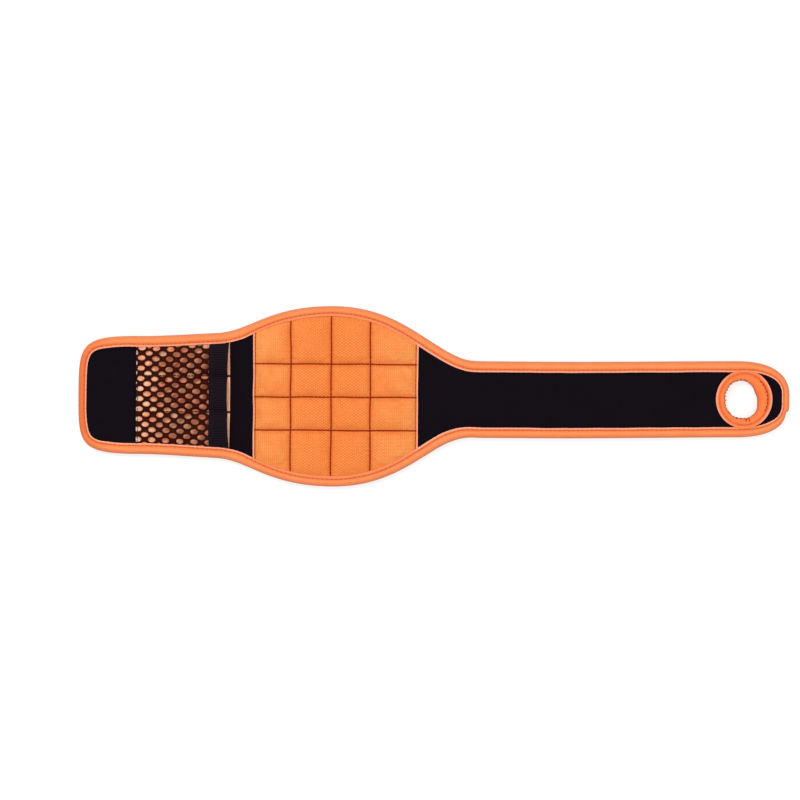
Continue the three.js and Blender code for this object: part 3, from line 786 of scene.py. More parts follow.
def elastic_material():
    """Ribbed elastic, nearly black, with a painted highlight on top of each rib and painted shade between the
    ribs.
    """
    cloth = ClothMaterial("elastic_black", roughness=0.9, specular=0.06)
    place = cloth.add("SeparateXYZ", Vector=cloth.place).outputs
    weave = cloth.group(WEAVE, Pitch=0.45)
    body = cloth.dyed(10.0, 0.9, srgb(11, 5, 10), srgb(19, 11, 18))
    # Painted highlight on the ribs' tops and painted shade between them
    rib = cloth.math("ABSOLUTE", cloth.math("SINE", cloth.math("MULTIPLY", place[1], math.pi / RIB_PITCH)))
    body = cloth.tint(body, cloth.spread(rib, 0.5, 0.95), 0.5, srgb(38, 30, 38))
    return cloth.finish(body, weave["Height"], 0.1)


def thread_material(name, dark, light, specular):
    """Twisted sewing thread."""
    cloth = ClothMaterial(name, roughness=0.7, specular=specular)
    ply = cloth.add("TexWave", {"bands_direction": "DIAGONAL"}, Vector=cloth.place, Scale=0.9)
    body = cloth.dyed(6.0, 0.6, dark, light)
    return cloth.finish(body, ply.outputs["Fac"], 0.08)


def foam_material():
    """Closed-cell foam with fine bubbles."""
    cloth = ClothMaterial("foam_grey", roughness=1.0, specular=0.1)
    cells = cloth.add("TexVoronoi", {"feature": "F1"}, Vector=cloth.place, Scale=1.6)
    body = cloth.dyed(9.0, 0.8, srgb(70, 70, 72), srgb(98, 98, 100))
    return cloth.finish(body, cells.outputs["Distance"], 0.2)


def hook_material():
    """Moulded nylon of the hook patch."""
    cloth = ClothMaterial("hook_nylon", roughness=0.45, specular=0.4)
    weave = cloth.group(WEAVE, Pitch=0.6)
    body = cloth.dyed(8.0, 0.8, srgb(16, 15, 18), srgb(34, 33, 37))
    return cloth.finish(body, weave["Height"], 0.1)


def nickel_material():
    """Nickel plate on the magnets, with faint rings from turning."""
    material = bpy.data.materials.new("nickel_plate")
    material.use_nodes = True
    shader = Shader(material.node_tree)
    surface = shader.tree.nodes["Principled BSDF"]
    surface.inputs["Metallic"].default_value = 1.0
    place = shader.add("NewGeometry").outputs["Position"]
    cloud = shader.add("TexNoise", None, Vector=place, Scale=900.0, Detail=3.0)
    tone = shader.mix(cloud.outputs["Fac"], srgb(176, 172, 162), srgb(208, 205, 197))
    shader.set(surface.inputs["Base Color"], tone)
    shader.set(surface.inputs["Roughness"], shader.math("MULTIPLY_ADD", cloud.outputs["Fac"], 0.2, 0.16))
    return material


TAPE_CLOTH = tape_material("tape_orange", TAPE_TONES, 0.6, 0.5)
RING_CLOTH = tape_material("tape_orange_bright", RING_TONES, 0.3, 0.0)
PANEL_CLOTH = panel_material()
POCKET_CLOTH = pocket_lining_material()
LOOP_CLOTH = black_cloth_material("loop_black", srgb(8, 4, 9), srgb(21, 14, 22), 0.55, 0.25)
SPACER_CLOTH = spacer_material()
NET_CLOTH = net_material()
ELASTIC = elastic_material()
FOAM = foam_material()
HOOKS = hook_material()
NICKEL = nickel_material()
TAPE_THREAD = thread_material("thread_rust", srgb(206, 94, 42), srgb(232, 118, 60), 0.15)
PANEL_THREAD = thread_material("thread_brown", srgb(108, 20, 0), srgb(146, 38, 2), 0.02)
BLACK_THREAD = thread_material("thread_black", srgb(14, 10, 14), srgb(34, 28, 32), 0.15)


# Binding tape round the whole edge


def pocket_lift(x, y):
    """How much the tape is raised where it also holds the pocket's edge."""
    rise = ease((x - POCKET_START + 1) / 3)
    fall = ease((MOUTH_EDGE + 3 - x) / 6)
    return POCKET_LIFT * rise * fall * (np.abs(y) > POCKET_SIDE_START)


def tape_sizes(x, side):
    """Width of the tape at x, and how far in from the edge its seam lies."""
    start, end = LOWER_STRAP_SPAN
    faded = ease((x - start) / LOWER_STRAP_FADE) * ease((end - x) / LOWER_STRAP_FADE)
    less = LOWER_STRAP_LESS * (side < 0) * faded
    return np.interp(x, TAPE_PLACES, TAPE_WIDTHS) - less, np.interp(x, TAPE_PLACES, SEW_INSETS) - less


def lap_step(x, y):
    """How far the edge steps in beside the end of the tape, which laps over its start at the thumb end."""
    past = LAP_END - y
    return LAP_STEP * ease((past + 0.3) / 0.9) * (1 - ease(past / LAP_FADE)) * (x > THUMB_END_START)


# Section of the tape, as distances in from the edge and heights
TAPE_FRONT = (
    (8.0, 4.36), (8.12, 4.62), (8.05, 4.82), (7.75, 4.96), (7.3, 5.02), (6.9, 5.0), (6.5, 4.95),
    (6.2, 4.86), (5.95, 4.72), (5.7, 4.62), (5.45, 4.74), (5.2, 4.92), (4.8, 5.1), (4.2, 5.27),
    (3.5, 5.36), (2.8, 5.34), (2.2, 5.22),
)
TAPE_BACK = (
    (2.8, 0.0), (3.5, 0.0), (4.3, 0.0), (5.1, 0.03), (5.5, 0.2), (5.7, 0.34), (5.9, 0.2), (6.3, 0.05),
    (7.0, 0.0), (7.7, 0.04), (8.05, 0.18), (8.1, 0.38), (8.0, 0.62),
)
TAPE_INSIDE = (
    (7.9, 0.7), (5.7, 0.72), (3.0, 0.7), (1.6, 0.72), (0.85, 1.3), (0.7, 2.5), (0.85, 3.7), (1.6, 4.3),
    (3.0, 4.34), (5.7, 4.3), (7.9, 4.32),
)
ROLL_POINTS = 7
ROLL_POINTS_ON_TOP = 3
ROLL_HEIGHT = 2.6
STITCH_DENT = 0.16
LIP_PULL = 0.1
BESIDE_PANEL = (120.0, 248.0)
# Cover value that hides the painted highlight of the lip on the tape's back and inside
NO_PALE_LIP = 40.0


def tape_section():
    """Outer and inner line of the folded tape, as distances in and heights."""
    roll = np.linspace(0, math.pi / 2, ROLL_POINTS)
    corner = np.column_stack([ROLL_WIDTH * (1 - np.sin(roll)), FOLD_HEIGHT + ROLL_HEIGHT * np.cos(roll)])
    lower_corner = corner[::-1] * [1, -1] + [0, 2 * FOLD_HEIGHT]
    lower_corner[:, 1] = np.maximum(lower_corner[:, 1], 0)
    return np.concatenate([TAPE_FRONT, corner, lower_corner[1:], TAPE_BACK]), np.array(TAPE_INSIDE)


def tape_lines(runs, side):
    """Sections of tape at distances along the outline, on the upper (1) or lower (-1) side."""
    outer, inner = tape_section()
    section = np.concatenate([outer, inner])
    top_points = len(TAPE_FRONT) + ROLL_POINTS_ON_TOP
    is_top = np.concatenate([np.arange(len(outer)) < top_points, inner[:, 1] > FOLD_HEIGHT])
    x, y, inward = on_outline(runs)
    sewn = np.interp(runs, RUN, SEW_RUN)
    places = np.column_stack([x, y * side])
    wobble = uneven(places, LIP_WOBBLE)
    swell = uneven(places, CROWN_SWELL)
    pull = 0.5 + 0.5 * np.cos(2 * math.pi * sewn / SEW_PITCH)
    lift = pocket_lift(x, y)
    width, sew = tape_sizes(x, side)
    lap = lap_step(x, y * side)
    inset, height = section[:, 0], section[:, 1]
    crown = bump_at(inset, 3.4, 1.8)
    groove = bump_at(inset, SEW_INSET, 0.55)
    lip = ease((inset - 5.7) / 2)
    off_roll = ease((inset - 2) / 5)
    near_roll = 1 - ease(inset / 6)
    known = [0, ROLL_WIDTH, SEW_INSET, TAPE_EDGE_INSET]
    sections, cloth = [], []
    for i in range(len(runs)):
        reach = np.interp(inset, known, [0, ROLL_WIDTH, sew[i], width[i]])
        reach = reach + wobble[i] * off_roll - LIP_PULL * pull[i] * lip + lap[i] * near_roll
        relief = swell[i] * crown - STITCH_DENT * pull[i] * groove - LIP_PULL * pull[i] * lip
        z = height + is_top * (relief + lift[i] * ease(inset / 2.5))
        base = np.array([x[i], y[i]]) + inward[i] * reach[:, None]
        sections.append(np.column_stack([base[:, 0], side * base[:, 1], z]))
        # Beside the panel the painted highlight on the tape's lip is hidden
        on_panel = float(ease((x[i] - BESIDE_PANEL[0]) / 5) * ease((BESIDE_PANEL[1] - x[i]) / 5))
        lip_cover = np.where(is_top, on_panel, NO_PALE_LIP)
        cloth.append(np.column_stack([np.full(len(section), sewn[i]), inset, lip_cover]))
    return np.array(sections), np.array(cloth)


def stretch_runs(stretch):
    """Distances along the outline for the tape of one stretch."""
    start, end = STRETCHES[stretch]["span"]
    first = 0.0 if start == 0 else run_at(start)
    last = RUN[-1] if end == BAND_LENGTH else run_at(end)
    return np.linspace(first, last, round((last - first) / TAPE_STEP) + 1)


def bend_over_fold(piece, stretch):
    """Bakes a piece's placement into its mesh. The bodies and bend of its stretch are looked up, but nothing
    uses them.
    """
    near, far = STRETCHES[stretch]["bodies"]
    start, end = (tuple(in_frame([x, 0, FOLD_HEIGHT])[0]) for x in STRETCHES[stretch]["bend"])
    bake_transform(piece)
    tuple(start)
    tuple(end)


def edge_tape(name, stretch, sides, nodes):
    """Tape along one stretch: on one side, or round the end from one side to the other."""
    runs = stretch_runs(stretch)
    if len(sides) == 1:
        sections, cloth = tape_lines(runs, sides[0])
    else:
        upper, lower = tape_lines(runs, 1), tape_lines(runs, -1)
        if runs[0] == 0:
            sections, cloth = (np.concatenate([low[:0:-1], up]) for up, low in zip(upper, lower))
        else:
            sections, cloth = (np.concatenate([up, low[-2::-1]]) for up, low in zip(upper, lower))
    points, faces = tube(sections)
    piece = make_piece(name, points, faces, TAPE_CLOTH, cloth.reshape(-1, 3), angle=60)
    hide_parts(*nodes)
    bend_over_fold(piece, stretch)


def edge_stitches(name, stretch):
    """Seam along the tape's inner edge, front and back."""
    runs = stretch_runs(stretch)
    first, last = np.interp([runs[0], runs[-1]], RUN, SEW_RUN)
    count = np.arange(math.ceil(first / SEW_PITCH - 0.5), math.floor(last / SEW_PITCH - 0.5) + 1)
    sewn = (count + 0.5) * SEW_PITCH
    sewn = sewn[(sewn > first) & (sewn < last)]
    x, y, inward = on_outline(np.interp(sewn, SEW_RUN, RUN))
    heading = np.column_stack([-inward[:, 1], inward[:, 0]])
    parts = []
    for side in (1, -1):
        flip = np.array([1, side])
        base = np.column_stack([x, y]) + tape_sizes(x, side)[1][:, None] * inward
        wander = SEAM_SWAY * drift(base * flip, 7.0, 6.6)[:, None]
        for high, up in SEW_HEIGHTS:
            lift = pocket_lift(base[:, 0], y) if up > 0 else 0.0
            centres = np.column_stack([(base + inward * wander) * flip, np.full(len(base), high) + lift])
            parts.append(stitches(centres, heading * flip, SEW_STITCH_LENGTH, SEW_THREAD_RADIUS, up))
    points, faces = join_parts(parts)
    piece = make_piece(name, points, faces, TAPE_THREAD, points)
    bend_over_fold(piece, stretch)


# Layers of the band under the tape

LAYER_EDGE = 2.4
LAYER_STEP = 0.9
RAISE_START = 8.3
RAISE_END = 12.5
LAYER_PLACES = (0, 113, 130, 240, 258, 402, 424, 510)
LAYER_HEIGHTS = {
    "lining": {"edge": (1.05, 1.75), "low": (1.05, 1.05, 0.05, 0.05, 0.05, 0.05, 1.05, 1.05)},
    "padding": {"edge": (2.1, 2.9), "low": (2.1, 2.1, 1.1, 1.1, 1.1, 1.1, 2.1, 2.1)},
    "face": {"edge": (3.2, 3.95), "low": (3.2, 3.2, 2.9, 2.9, 3.75, 3.75, 3.2, 3.2)},
}
PADDING_TOPS = (2.9, 2.9, 2.6, 2.6, 3.45, 3.45, 2.9, 2.9)
LAYER_THICKNESS = 0.7
LAYER_LINES = 61
FACE_RIB_PITCH = 1.8
FACE_RIB_HEIGHT = 0.16
FACE_RIB_START = 33
HOLE_CUT_WIDER = 2.2
LAYER_FINISHES = {
    "face": (LOOP_CLOTH, "face_fabric"),
    "padding": (FOAM, "foam"),
    "lining": (SPACER_CLOTH, "back_lining"),
}


def layer_heights(layer, plan):
    """Underside and top of a layer: pinched under the tape, at its own height inside."""
    facts = LAYER_HEIGHTS[layer]
    share = ease((depth_in(plan) - RAISE_START) / (RAISE_END - RAISE_START))
    inside_low = np.interp(plan[:, 0], LAYER_PLACES, facts["low"])
    if layer == "padding":
        inside_high = np.interp(plan[:, 0], LAYER_PLACES, PADDING_TOPS)
    else:
        inside_high = inside_low + LAYER_THICKNESS
    low = facts["edge"][0] + share * (inside_low - facts["edge"][0])
    high = facts["edge"][1] + share * (inside_high - facts["edge"][1])
    if layer == "face":
        high = high + share * uneven(plan, FACE_WAVES)
        ribs = 0.5 + 0.5 * np.cos(2 * math.pi * plan[:, 0] / FACE_RIB_PITCH)
        shown = ease((plan[:, 0] - FACE_RIB_START) / 2)
        high = high + FACE_RIB_HEIGHT * ribs * share * shown * (plan[:, 0] < POCKET_START + 1)
    return low, high


def layer_stations(start, end):
    """Places for lines across a layer, at even steps, that keep clear of the band's ends."""
    first = start + (LAYER_EDGE if start == 0 else 0)
    last = end - (LAYER_EDGE if end == BAND_LENGTH else 0)
    return np.linspace(first, last, round((last - first) / LAYER_STEP) + 1)


def cut_thumb_hole(plan, faces, growth):
    """Takes the thumb hole out of a plan and draws the edge that is left onto its outline."""
    reach = np.array([HOLE_HALF_LENGTH + growth, HOLE_HALF_WIDTH + growth])
    spread = (plan - [HOLE_X, HOLE_Y]) / reach
    far = np.linalg.norm(spread, axis=1)
    kept = [face for face in faces if far[list(face)].mean() > 1]
    uses = {}
    for face in kept:
        for corner in face:
            uses[int(corner)] = uses.get(int(corner), 0) + 1
    rim = [corner for corner, count in uses.items() if count < 4 and far[corner] < 1.3]
    plan[rim] = [HOLE_X, HOLE_Y] + reach * spread[rim] / far[rim][:, None]
    renamed = {corner: place for place, corner in enumerate(sorted(uses))}
    return plan[sorted(uses)], [[renamed[int(corner)] for corner in face] for face in kept]


def layer_node(layer, body):
    """Name of the solid that a layer of a body stands for."""
    if layer == "face" and body == "belly":
        return "magnet_backing"
    return f"{body.removesuffix('_loop')}_{layer}"


def band_layer(layer, stretch):
    """One layer of one stretch, as a single cloth over its fold."""
    start, end = STRETCHES[stretch]["span"]
    material, slot = LAYER_FINISHES[layer]
    shares = np.linspace(-1, 1, LAYER_LINES)
    plan, faces = grid_plan(layer_stations(start, end), lambda x: shares * half_width(x, LAYER_EDGE))
    if stretch == "thumb":
        plan, faces = cut_thumb_hole(plan, faces, HOLE_CUT_WIDER)
    low, high = layer_heights(layer, plan)
    points, faces = slab(plan, faces, low, high)
    piece = make_piece(f"{layer}_{stretch}", points, faces, material, points)
    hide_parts(*[layer_node(layer, body) for body in STRETCHES[stretch]["bodies"]])
    bend_over_fold(piece, stretch)


def band_layers():
    """Face, padding and lining of each stretch, in place of the solids that they stand for."""
    for stretch in STRETCHES:
        for layer in LAYER_FINISHES:
            band_layer(layer, stretch)


def edge_tapes():
    """All of the binding tape, and the seams that hold it."""
    edge_tape("tape_tab", "tab", (-1, 1), ["tab_binding", "belly_binding_lower", "belly_binding_upper"])
    for side, word in ((1, "upper"), (-1, "lower")):
        for stretch in ("belly", "strap"):
            nodes = [f"{body}_binding_{word}" for body in STRETCHES[stretch]["bodies"]]
            edge_tape(f"tape_{stretch}_{word}", stretch, (side,), nodes)
    thumb_nodes = ["far_strap_binding_upper", "far_strap_binding_lower", "thumb_binding"]
    edge_tape("tape_thumb", "thumb", (1, -1), thumb_nodes)
    for stretch in STRETCHES:
        edge_stitches(f"tape_stitches_{stretch}", stretch)


# Quilted panel

# How the cloth behaves in the simulation that puffs it up
PUFF_SCALE = 0.01
PUFF_FRAMES = 20
PUFF_DRIFT = 1.2
PUFF_SETTINGS = {
    "vertex_group_mass": "sewn",
    "quality": 5,
    "mass": 0.0012,
    "tension_stiffness": 8,
    "compression_stiffness": 8,
    "shear_stiffness": 3,
    "bending_stiffness": 0.02,
    "air_damping": 2,
    "shrink_min": -0.045,
    "use_pressure": True,
    "uniform_pressure_force": 12,
}
MAGNETS = [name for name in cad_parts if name.startswith("magnet_") and name != "magnet_backing"]
MAGNET_RIM = MAGNET_RADIUS + 0.4
MAGNET_GAP = 0.3
MAGNET_BLEND = 0.35
SEAM_DENT = 0.4
SEAM_WANDER = 0.45
END_ROLL = 0.7
HEM_DENT = 0.35
PANEL_EDGE_HIGH = 4.2
PANEL_EDGE_LOW = 4.0

# Stitches: distance from one to the next, length, radius, and height over the cloth
CELL_STITCH = (2.9, 2.85, 0.3, 0.15)
HEM_STITCH = (2.6, 2.3, 0.19, 0.1)


def panel_plan():
    """Grid over the panel, with lines along its seams, and each point's distance from the nearest seam."""
    columns = list(zip(PANEL_COLUMNS, PANEL_COLUMNS[1:]))
    xs = [np.linspace(a, b, round((b - a) / PANEL_STEP), endpoint=False) for a, b in columns]
    xs = np.append(np.concatenate(xs), PANEL_COLUMNS[-1])
    rows = round(ROW_SEAM / PANEL_STEP)

    def ys_at(x):
        """Places of the points across the panel at x."""
        inside = half_width(x, PANEL_SIDE_INSET)
        edges = (-inside, *ROW_SEAMS, inside)
        parts = [np.linspace(a, b, rows, endpoint=False) for a, b in zip(edges, edges[1:])]
        return np.append(np.concatenate(parts), inside)

    plan, faces = grid_plan(xs, ys_at)
    gaps = [np.abs(plan[:, 0] - x) for x in PANEL_COLUMNS[1:-1]]
    gaps += [np.abs(plan[:, 1] - y) for y in ROW_SEAMS]
    return plan, faces, np.min(gaps, axis=0), len(xs)


def edge_depth(plan):
    """Distance in from the tape's inner edge."""
    width = np.where(plan[:, 1] > 0, tape_sizes(plan[:, 0], 1)[0], tape_sizes(plan[:, 0], -1)[0])
    return half_width(plan[:, 0]) - np.abs(plan[:, 1]) - width


def end_depth(plan):
    """Distance in from the panel's folded ends."""
    return np.minimum(plan[:, 0] - PANEL_SPAN[0], PANEL_SPAN[1] - plan[:, 0])


def seam_wander(plan):
    """The seams aren't quite straight: how far the cloth and its thread are drawn aside."""
    return SEAM_WANDER * np.column_stack([drift(plan, 17.0, seed) for seed in (12.5, 25.5)])


def puffed(plan, faces, gap):
    """Cloth simulation: the panel is held along its seams and edges, and pressure lifts it in between."""
    flat = np.column_stack([plan, np.zeros(len(plan))]) * PUFF_SCALE
    mesh = bpy.data.meshes.new("puff")
    mesh.from_pydata(flat.tolist(), [], faces.tolist())
    pad = add_object("puff", mesh)
    fixed = (gap < 0.05) | (end_depth(plan) < HEM_SEW_INSET + 0.5) | (edge_depth(plan) < 0.3)
    pad.vertex_groups.new(name="sewn").add(np.flatnonzero(fixed).tolist(), 1.0, "REPLACE")
    cloth = pad.modifiers.new("cloth", "CLOTH")
    for name, value in PUFF_SETTINGS.items():
        setattr(cloth.settings, name, value)
    cloth.settings.effector_weights.gravity = 0
    cloth.collision_settings.use_collision = False
    cloth.collision_settings.use_self_collision = False
    cloth.point_cache.frame_end = PUFF_FRAMES
    for step in range(1, PUFF_FRAMES + 1):
        bpy.context.scene.frame_set(step)
    shape = pad.evaluated_get(bpy.context.evaluated_depsgraph_get())
    lifted = np.empty(len(plan) * 3)
    shape.data.vertices.foreach_get("co", lifted)
    bpy.data.objects.remove(pad)
    bpy.context.scene.frame_set(1)
    lifted = lifted.reshape(-1, 3) / PUFF_SCALE
    lifted[:, :2] = plan + np.clip(lifted[:, :2] - plan, -PUFF_DRIFT, PUFF_DRIFT)
    lifted[:, 2] = np.clip(lifted[:, 2], 0, None)
    return lifted


def over_magnets(points):
    """Height of cloth that lies on the magnets, and falls away beside them."""
    high = np.zeros(len(points))
    for name in MAGNETS:
        low_corner, high_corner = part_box(name)
        middle = (np.array(low_corner) + np.array(high_corner)) / 2 / MM
        away = np.hypot(points[:, 0] - middle[0] - BAND_LENGTH / 2, points[:, 1] - middle[1])
        dome = MAGNET_TOP + CLOTH + MAGNET_GAP - 0.25 * (away / MAGNET_RADIUS) ** 2
        beside = dome - 3 * (away - MAGNET_RIM)
        high = np.maximum(high, dome * (away < MAGNET_RIM) + beside * (away >= MAGNET_RIM))
    return high


def quilted_panel():
    """The panel's cloth. Gives its plan and its top, as grids, for the seams."""
    plan, faces, gap, lines = panel_plan()
    lifted = puffed(plan, faces, gap)
    columns = len(plan) // lines
    high = SEAM_HIGH + lifted[:, 2]
    high = np.logaddexp(high / MAGNET_BLEND, over_magnets(lifted) / MAGNET_BLEND) * MAGNET_BLEND
    high = high - SEAM_DENT * np.exp(-((gap / 0.7) ** 2))
    ends = end_depth(plan)
    high = high + END_ROLL * bump_at(ends, 0.7, 0.7) - HEM_DENT * bump_at(ends, HEM_SEW_INSET, 0.4)
    under_tape = ease((edge_depth(plan) + 0.6) / 1.8)
    high = PANEL_EDGE_HIGH + (high - PANEL_EDGE_HIGH) * under_tape
    low = np.clip(high - CLOTH, PANEL_EDGE_LOW - 0.25 * (1 - under_tape), high - 0.15)
    spot = lifted[:, :2] + seam_wander(plan) * under_tape[:, None]
    spot[:, 1] = np.where(under_tape > 0.02, spot[:, 1], plan[:, 1])
    points, faces = slab(spot, faces, low, high)
    cloth = np.tile(np.column_stack([plan, gap]), (2, 1))
    piece = make_piece("quilted_panel_cloth", points, faces, PANEL_CLOTH, cloth)
    stand_for(piece, "quilted_panel", "belly")
    grid = np.column_stack([spot, high]).reshape(lines, columns, 3)
    return {"plan": plan.reshape(lines, columns, 2), "cloth": grid}


def seam_line(start, end, pitch, wander, seed):
    """Middles and headings of the stitches along a straight seam."""
    start, end = np.array(start, float), np.array(end, float)
    length = np.linalg.norm(end - start)
    heading = (end - start) / length
    places = start + evenly(0, length, pitch)[:, None] * heading
    sideways = np.array([-heading[1], heading[0]])
    return places + sideways * wander * drift(places, 9.0, seed)[:, None], np.tile(heading, (len(places), 1))


def stitches_on(path, pitch, length, radius, rise):
    """Stitches that follow a line of points on the cloth."""
    run = length_along(path)
    at = evenly(0, run[-1], pitch)

    def points_at(places):
        """Points of the line at distances along it."""
        return np.column_stack([np.interp(places, run, path[:, axis]) for axis in range(3)])

    headings = (points_at(at + 0.5) - points_at(at - 0.5))[:, :2]
    return stitches(points_at(at) + [0, 0, rise], headings, length, radius)


def panel_stitches(panel):
    """Dark thread along the seams between the cells and along the folded ends."""
    plan, cloth = panel["plan"], panel["cloth"]
    seen = edge_depth(plan.reshape(-1, 2)).reshape(plan.shape[:2]) > 0.1
    parts = []
    for x in PANEL_COLUMNS[1:-1]:
        line = int(np.argmin(np.abs(plan[:, 0, 0] - x)))
        parts.append(stitches_on(cloth[line][seen[line]], *CELL_STITCH))
    for y in ROW_SEAMS:
        column = int(np.argmin(np.abs(plan[0, :, 1] - y)))
        parts.append(stitches_on(cloth[1:-1, column], *CELL_STITCH))
    for x in (PANEL_SPAN[0] + HEM_SEW_INSET, PANEL_SPAN[1] - HEM_SEW_INSET):
        line = int(np.argmin(np.abs(plan[:, 0, 0] - x)))
        parts.append(stitches_on(cloth[line][seen[line]], *HEM_STITCH))
    sew("panel_stitches", parts, PANEL_THREAD, "belly")


# Pocket

# Distance in from the band's edge at which each layer of the pocket ends under the tape
LINING_INSET = 5.8
HEM_INSET = 6.0
NET_INSET = 5.7

# Underside of each layer of the pocket: under the tape, and inside
LINING_LOW = (4.05, 4.3)
NET_LOW = (4.5, 5.0)
HEM_LOW = (4.5, 5.15)
HEM_ROLL = 1.1
POCKET_THREAD_RADIUS = 0.36


def mouth_bow(y):
    """How far the pocket's mouth bows at y, as a share of its bow at the sides."""
    return (np.abs(y - MOUTH_MIDDLE) / MOUTH_HALF) ** 2


def rounded(share):
    """A quarter of a circle from 0 to 1."""
    return np.sqrt(np.clip(1 - (1 - share) ** 2, 0, 1))


def arch(plan):
    """How high the net and hem stand over the pocket's lining."""
    inside = half_width(plan[:, 0], TAPE_WIDTH + 0.3)
    y = plan[:, 1]
    low_seam, high_seam = POCKET_SEAMS
    start = np.where(y < low_seam, -inside, np.where(y < high_seam, low_seam, high_seam))
    end = np.where(y < low_seam, low_seam, np.where(y < high_seam, high_seam, inside))
    across = np.clip(np.abs(2 * (y - start) / (end - start) - 1), 0, 1)
    along = ease((plan[:, 0] - POCKET_START) / POCKET_RISE_LENGTH)
    return POCKET_RISE * along * (1 - across**ARCH_POWER)


def pocket_base(plan, edge, inside):
    """Height of a pocket layer: low under the tape, higher beside it."""
    share = ease((edge_depth(plan) + 0.3) / 2.2)
    return edge + share * (inside - edge)


def pocket_lining():
    """Lining of the pocket, with a rolled edge just outside its mouth."""
    shares = np.linspace(-1, 1, 90)
    xs = np.linspace(POCKET_START, MOUTH_EDGE, 60)
    plan, faces = grid_plan(xs, lambda x: shares * half_width(x, LINING_INSET))
    near_mouth = ease((plan[:, 0] - POCKET_MOUTH + 2) / 4.7)
    plan[:, 0] -= near_mouth * (LINING_BOW * mouth_bow(plan[:, 1]))
    low = pocket_base(plan, *LINING_LOW)
    high = low + 0.4 + 0.35 * bump_at(plan[:, 0], MOUTH_EDGE - 1.0, 0.8)
    points, faces = slab(plan, faces, low, high)
    piece = make_piece("pocket_lining_cloth", points, faces, POCKET_CLOTH, points)
    stand_for(piece, "pocket_lining", "tab")


NET_PITCH = 10.2
NET_ROW = 3.63
NET_HOLE = (2.68, 1.78)
NET_SLANT = 0.045
NET_TILT = -0.045
NET_SHIFT = (-0.56, 0.04)
NET_FIRST_HOLE = 3.2
NET_LAST_HOLE = HEM_START + 5
NET_ROWS = 13
NET_SIZE_SPREAD = 0.1
NET_PLACE_SPREAD = 0.25
NET_EDGE_STEPS = 4
NET_RING_SHARES = (0.0, 0.22, 0.55, 1.0)
NET_THICKNESS = 0.75


def net_cell_outline():
    """Six-sided cell round a hole, as points in order, from the holes' spacing."""
    half = NET_PITCH / 2
    reach = (half**2 + NET_ROW**2) / 2
    side = reach / half
    flat = (reach - NET_ROW**2) / half
    upper = [(side, 0), (flat, NET_ROW), (-flat, NET_ROW)]
    corners = np.array(upper + [(-x, -y) for x, y in upper])
    points = []
    for i in range(6):
        start, end = corners[i], corners[(i + 1) % 6]
        points += [start + (end - start) * k / NET_EDGE_STEPS for k in range(NET_EDGE_STEPS)]
    return np.array(points)


def net_plan():
    """The net laid flat: rings of points from each hole's edge to the middle of the strands round it."""
    cell = net_cell_outline()
    turn = np.arctan2(cell[:, 1], cell[:, 0])
    round_points = len(cell)
    plan, faces, edge_share = [], [], []
    rings = len(NET_RING_SHARES)
    columns = range(-1, math.ceil((HEM_START - POCKET_START) / (NET_PITCH / 2)) + 2)
    for column in columns:
        for row in range(-NET_ROWS, NET_ROWS + 1):
            if (row + column) % 2 == 0:
                continue
            x = POCKET_START + NET_FIRST_HOLE + column * NET_PITCH / 2
            centre = np.array([x, row * NET_ROW]) + NET_SHIFT
            centre[1] += NET_TILT * (centre[0] - (POCKET_START + HEM_START) / 2)
            centre[0] += NET_SLANT * centre[1]
            if abs(centre[1]) > half_width(centre[0], NET_INSET) or centre[0] > NET_LAST_HOLE:
                continue
            size = 1 + NET_SIZE_SPREAD * noise.noise(Vector((column * 1.7, row * 2.3, 8.8)))
            spots = [Vector((column * 3.1, row * 1.3, seed)) for seed in (1.5, 7.5)]
            shift = NET_PLACE_SPREAD * np.array([noise.noise(spot) for spot in spots])
            hole = np.column_stack([NET_HOLE[0] * np.cos(turn), NET_HOLE[1] * np.sin(turn)]) * size + shift
            slanted = cell + np.column_stack([NET_SLANT * cell[:, 1], NET_TILT * cell[:, 0]])
            first = len(plan) * round_points
            for share in NET_RING_SHARES:
                plan.append(centre + hole + share * (slanted - hole))
                edge_share.append(np.full(round_points, share))
            faces += grid_faces(rings, round_points, closed=True, first=first)[:, ::-1].tolist()
    return np.concatenate(plan), faces, np.concatenate(edge_share)


def trim_net(plan, faces, edge_share):
    """Welds the cells together and cuts the net off straight at both of its ends."""
    mesh = bmesh.new()
    share_layer = mesh.verts.layers.float.new("share")
    for (x, y), share in zip(plan, edge_share):
        mesh.verts.new((x, y, 0))[share_layer] = share
    mesh.verts.ensure_lookup_table()
    for face in faces:
        mesh.faces.new([mesh.verts[corner] for corner in face])
    bmesh.ops.remove_doubles(mesh, verts=mesh.verts, dist=0.01)
    for x, facing in ((POCKET_START, -1), (HEM_START + 3, 1)):
        everything = mesh.verts[:] + mesh.edges[:] + mesh.faces[:]
        place, outward = (x, 0, 0), (facing, 0, 0)
        bmesh.ops.bisect_plane(mesh, geom=everything, plane_co=place, plane_no=outward, clear_outer=True)
    bmesh.ops.recalc_face_normals(mesh, faces=mesh.faces)
    if sum(face.normal.z for face in mesh.faces) < 0:
        bmesh.ops.reverse_faces(mesh, faces=mesh.faces)
    mesh.verts.index_update()
    places = np.array([vertex.co[:2] for vertex in mesh.verts])
    shares = np.array([vertex[share_layer] for vertex in mesh.verts])
    outlines = [[vertex.index for vertex in face.verts] for face in mesh.faces]
    mesh.free()
    return places, outlines, shares


def pocket_net():
    """The knitted net, with strands that are rounded off towards the holes."""
    plan, faces, share = trim_net(*net_plan())
    low = pocket_base(plan, *NET_LOW) + arch(plan)
    high = low + NET_THICKNESS * (0.35 + 0.65 * rounded(np.clip(share, 0, 1)))
    points, faces = slab(plan, faces, low, high)
    piece = make_piece("pocket_net_knit", points, faces, NET_CLOTH, points, angle=75)
    stand_for(piece, "pocket_net", "tab")


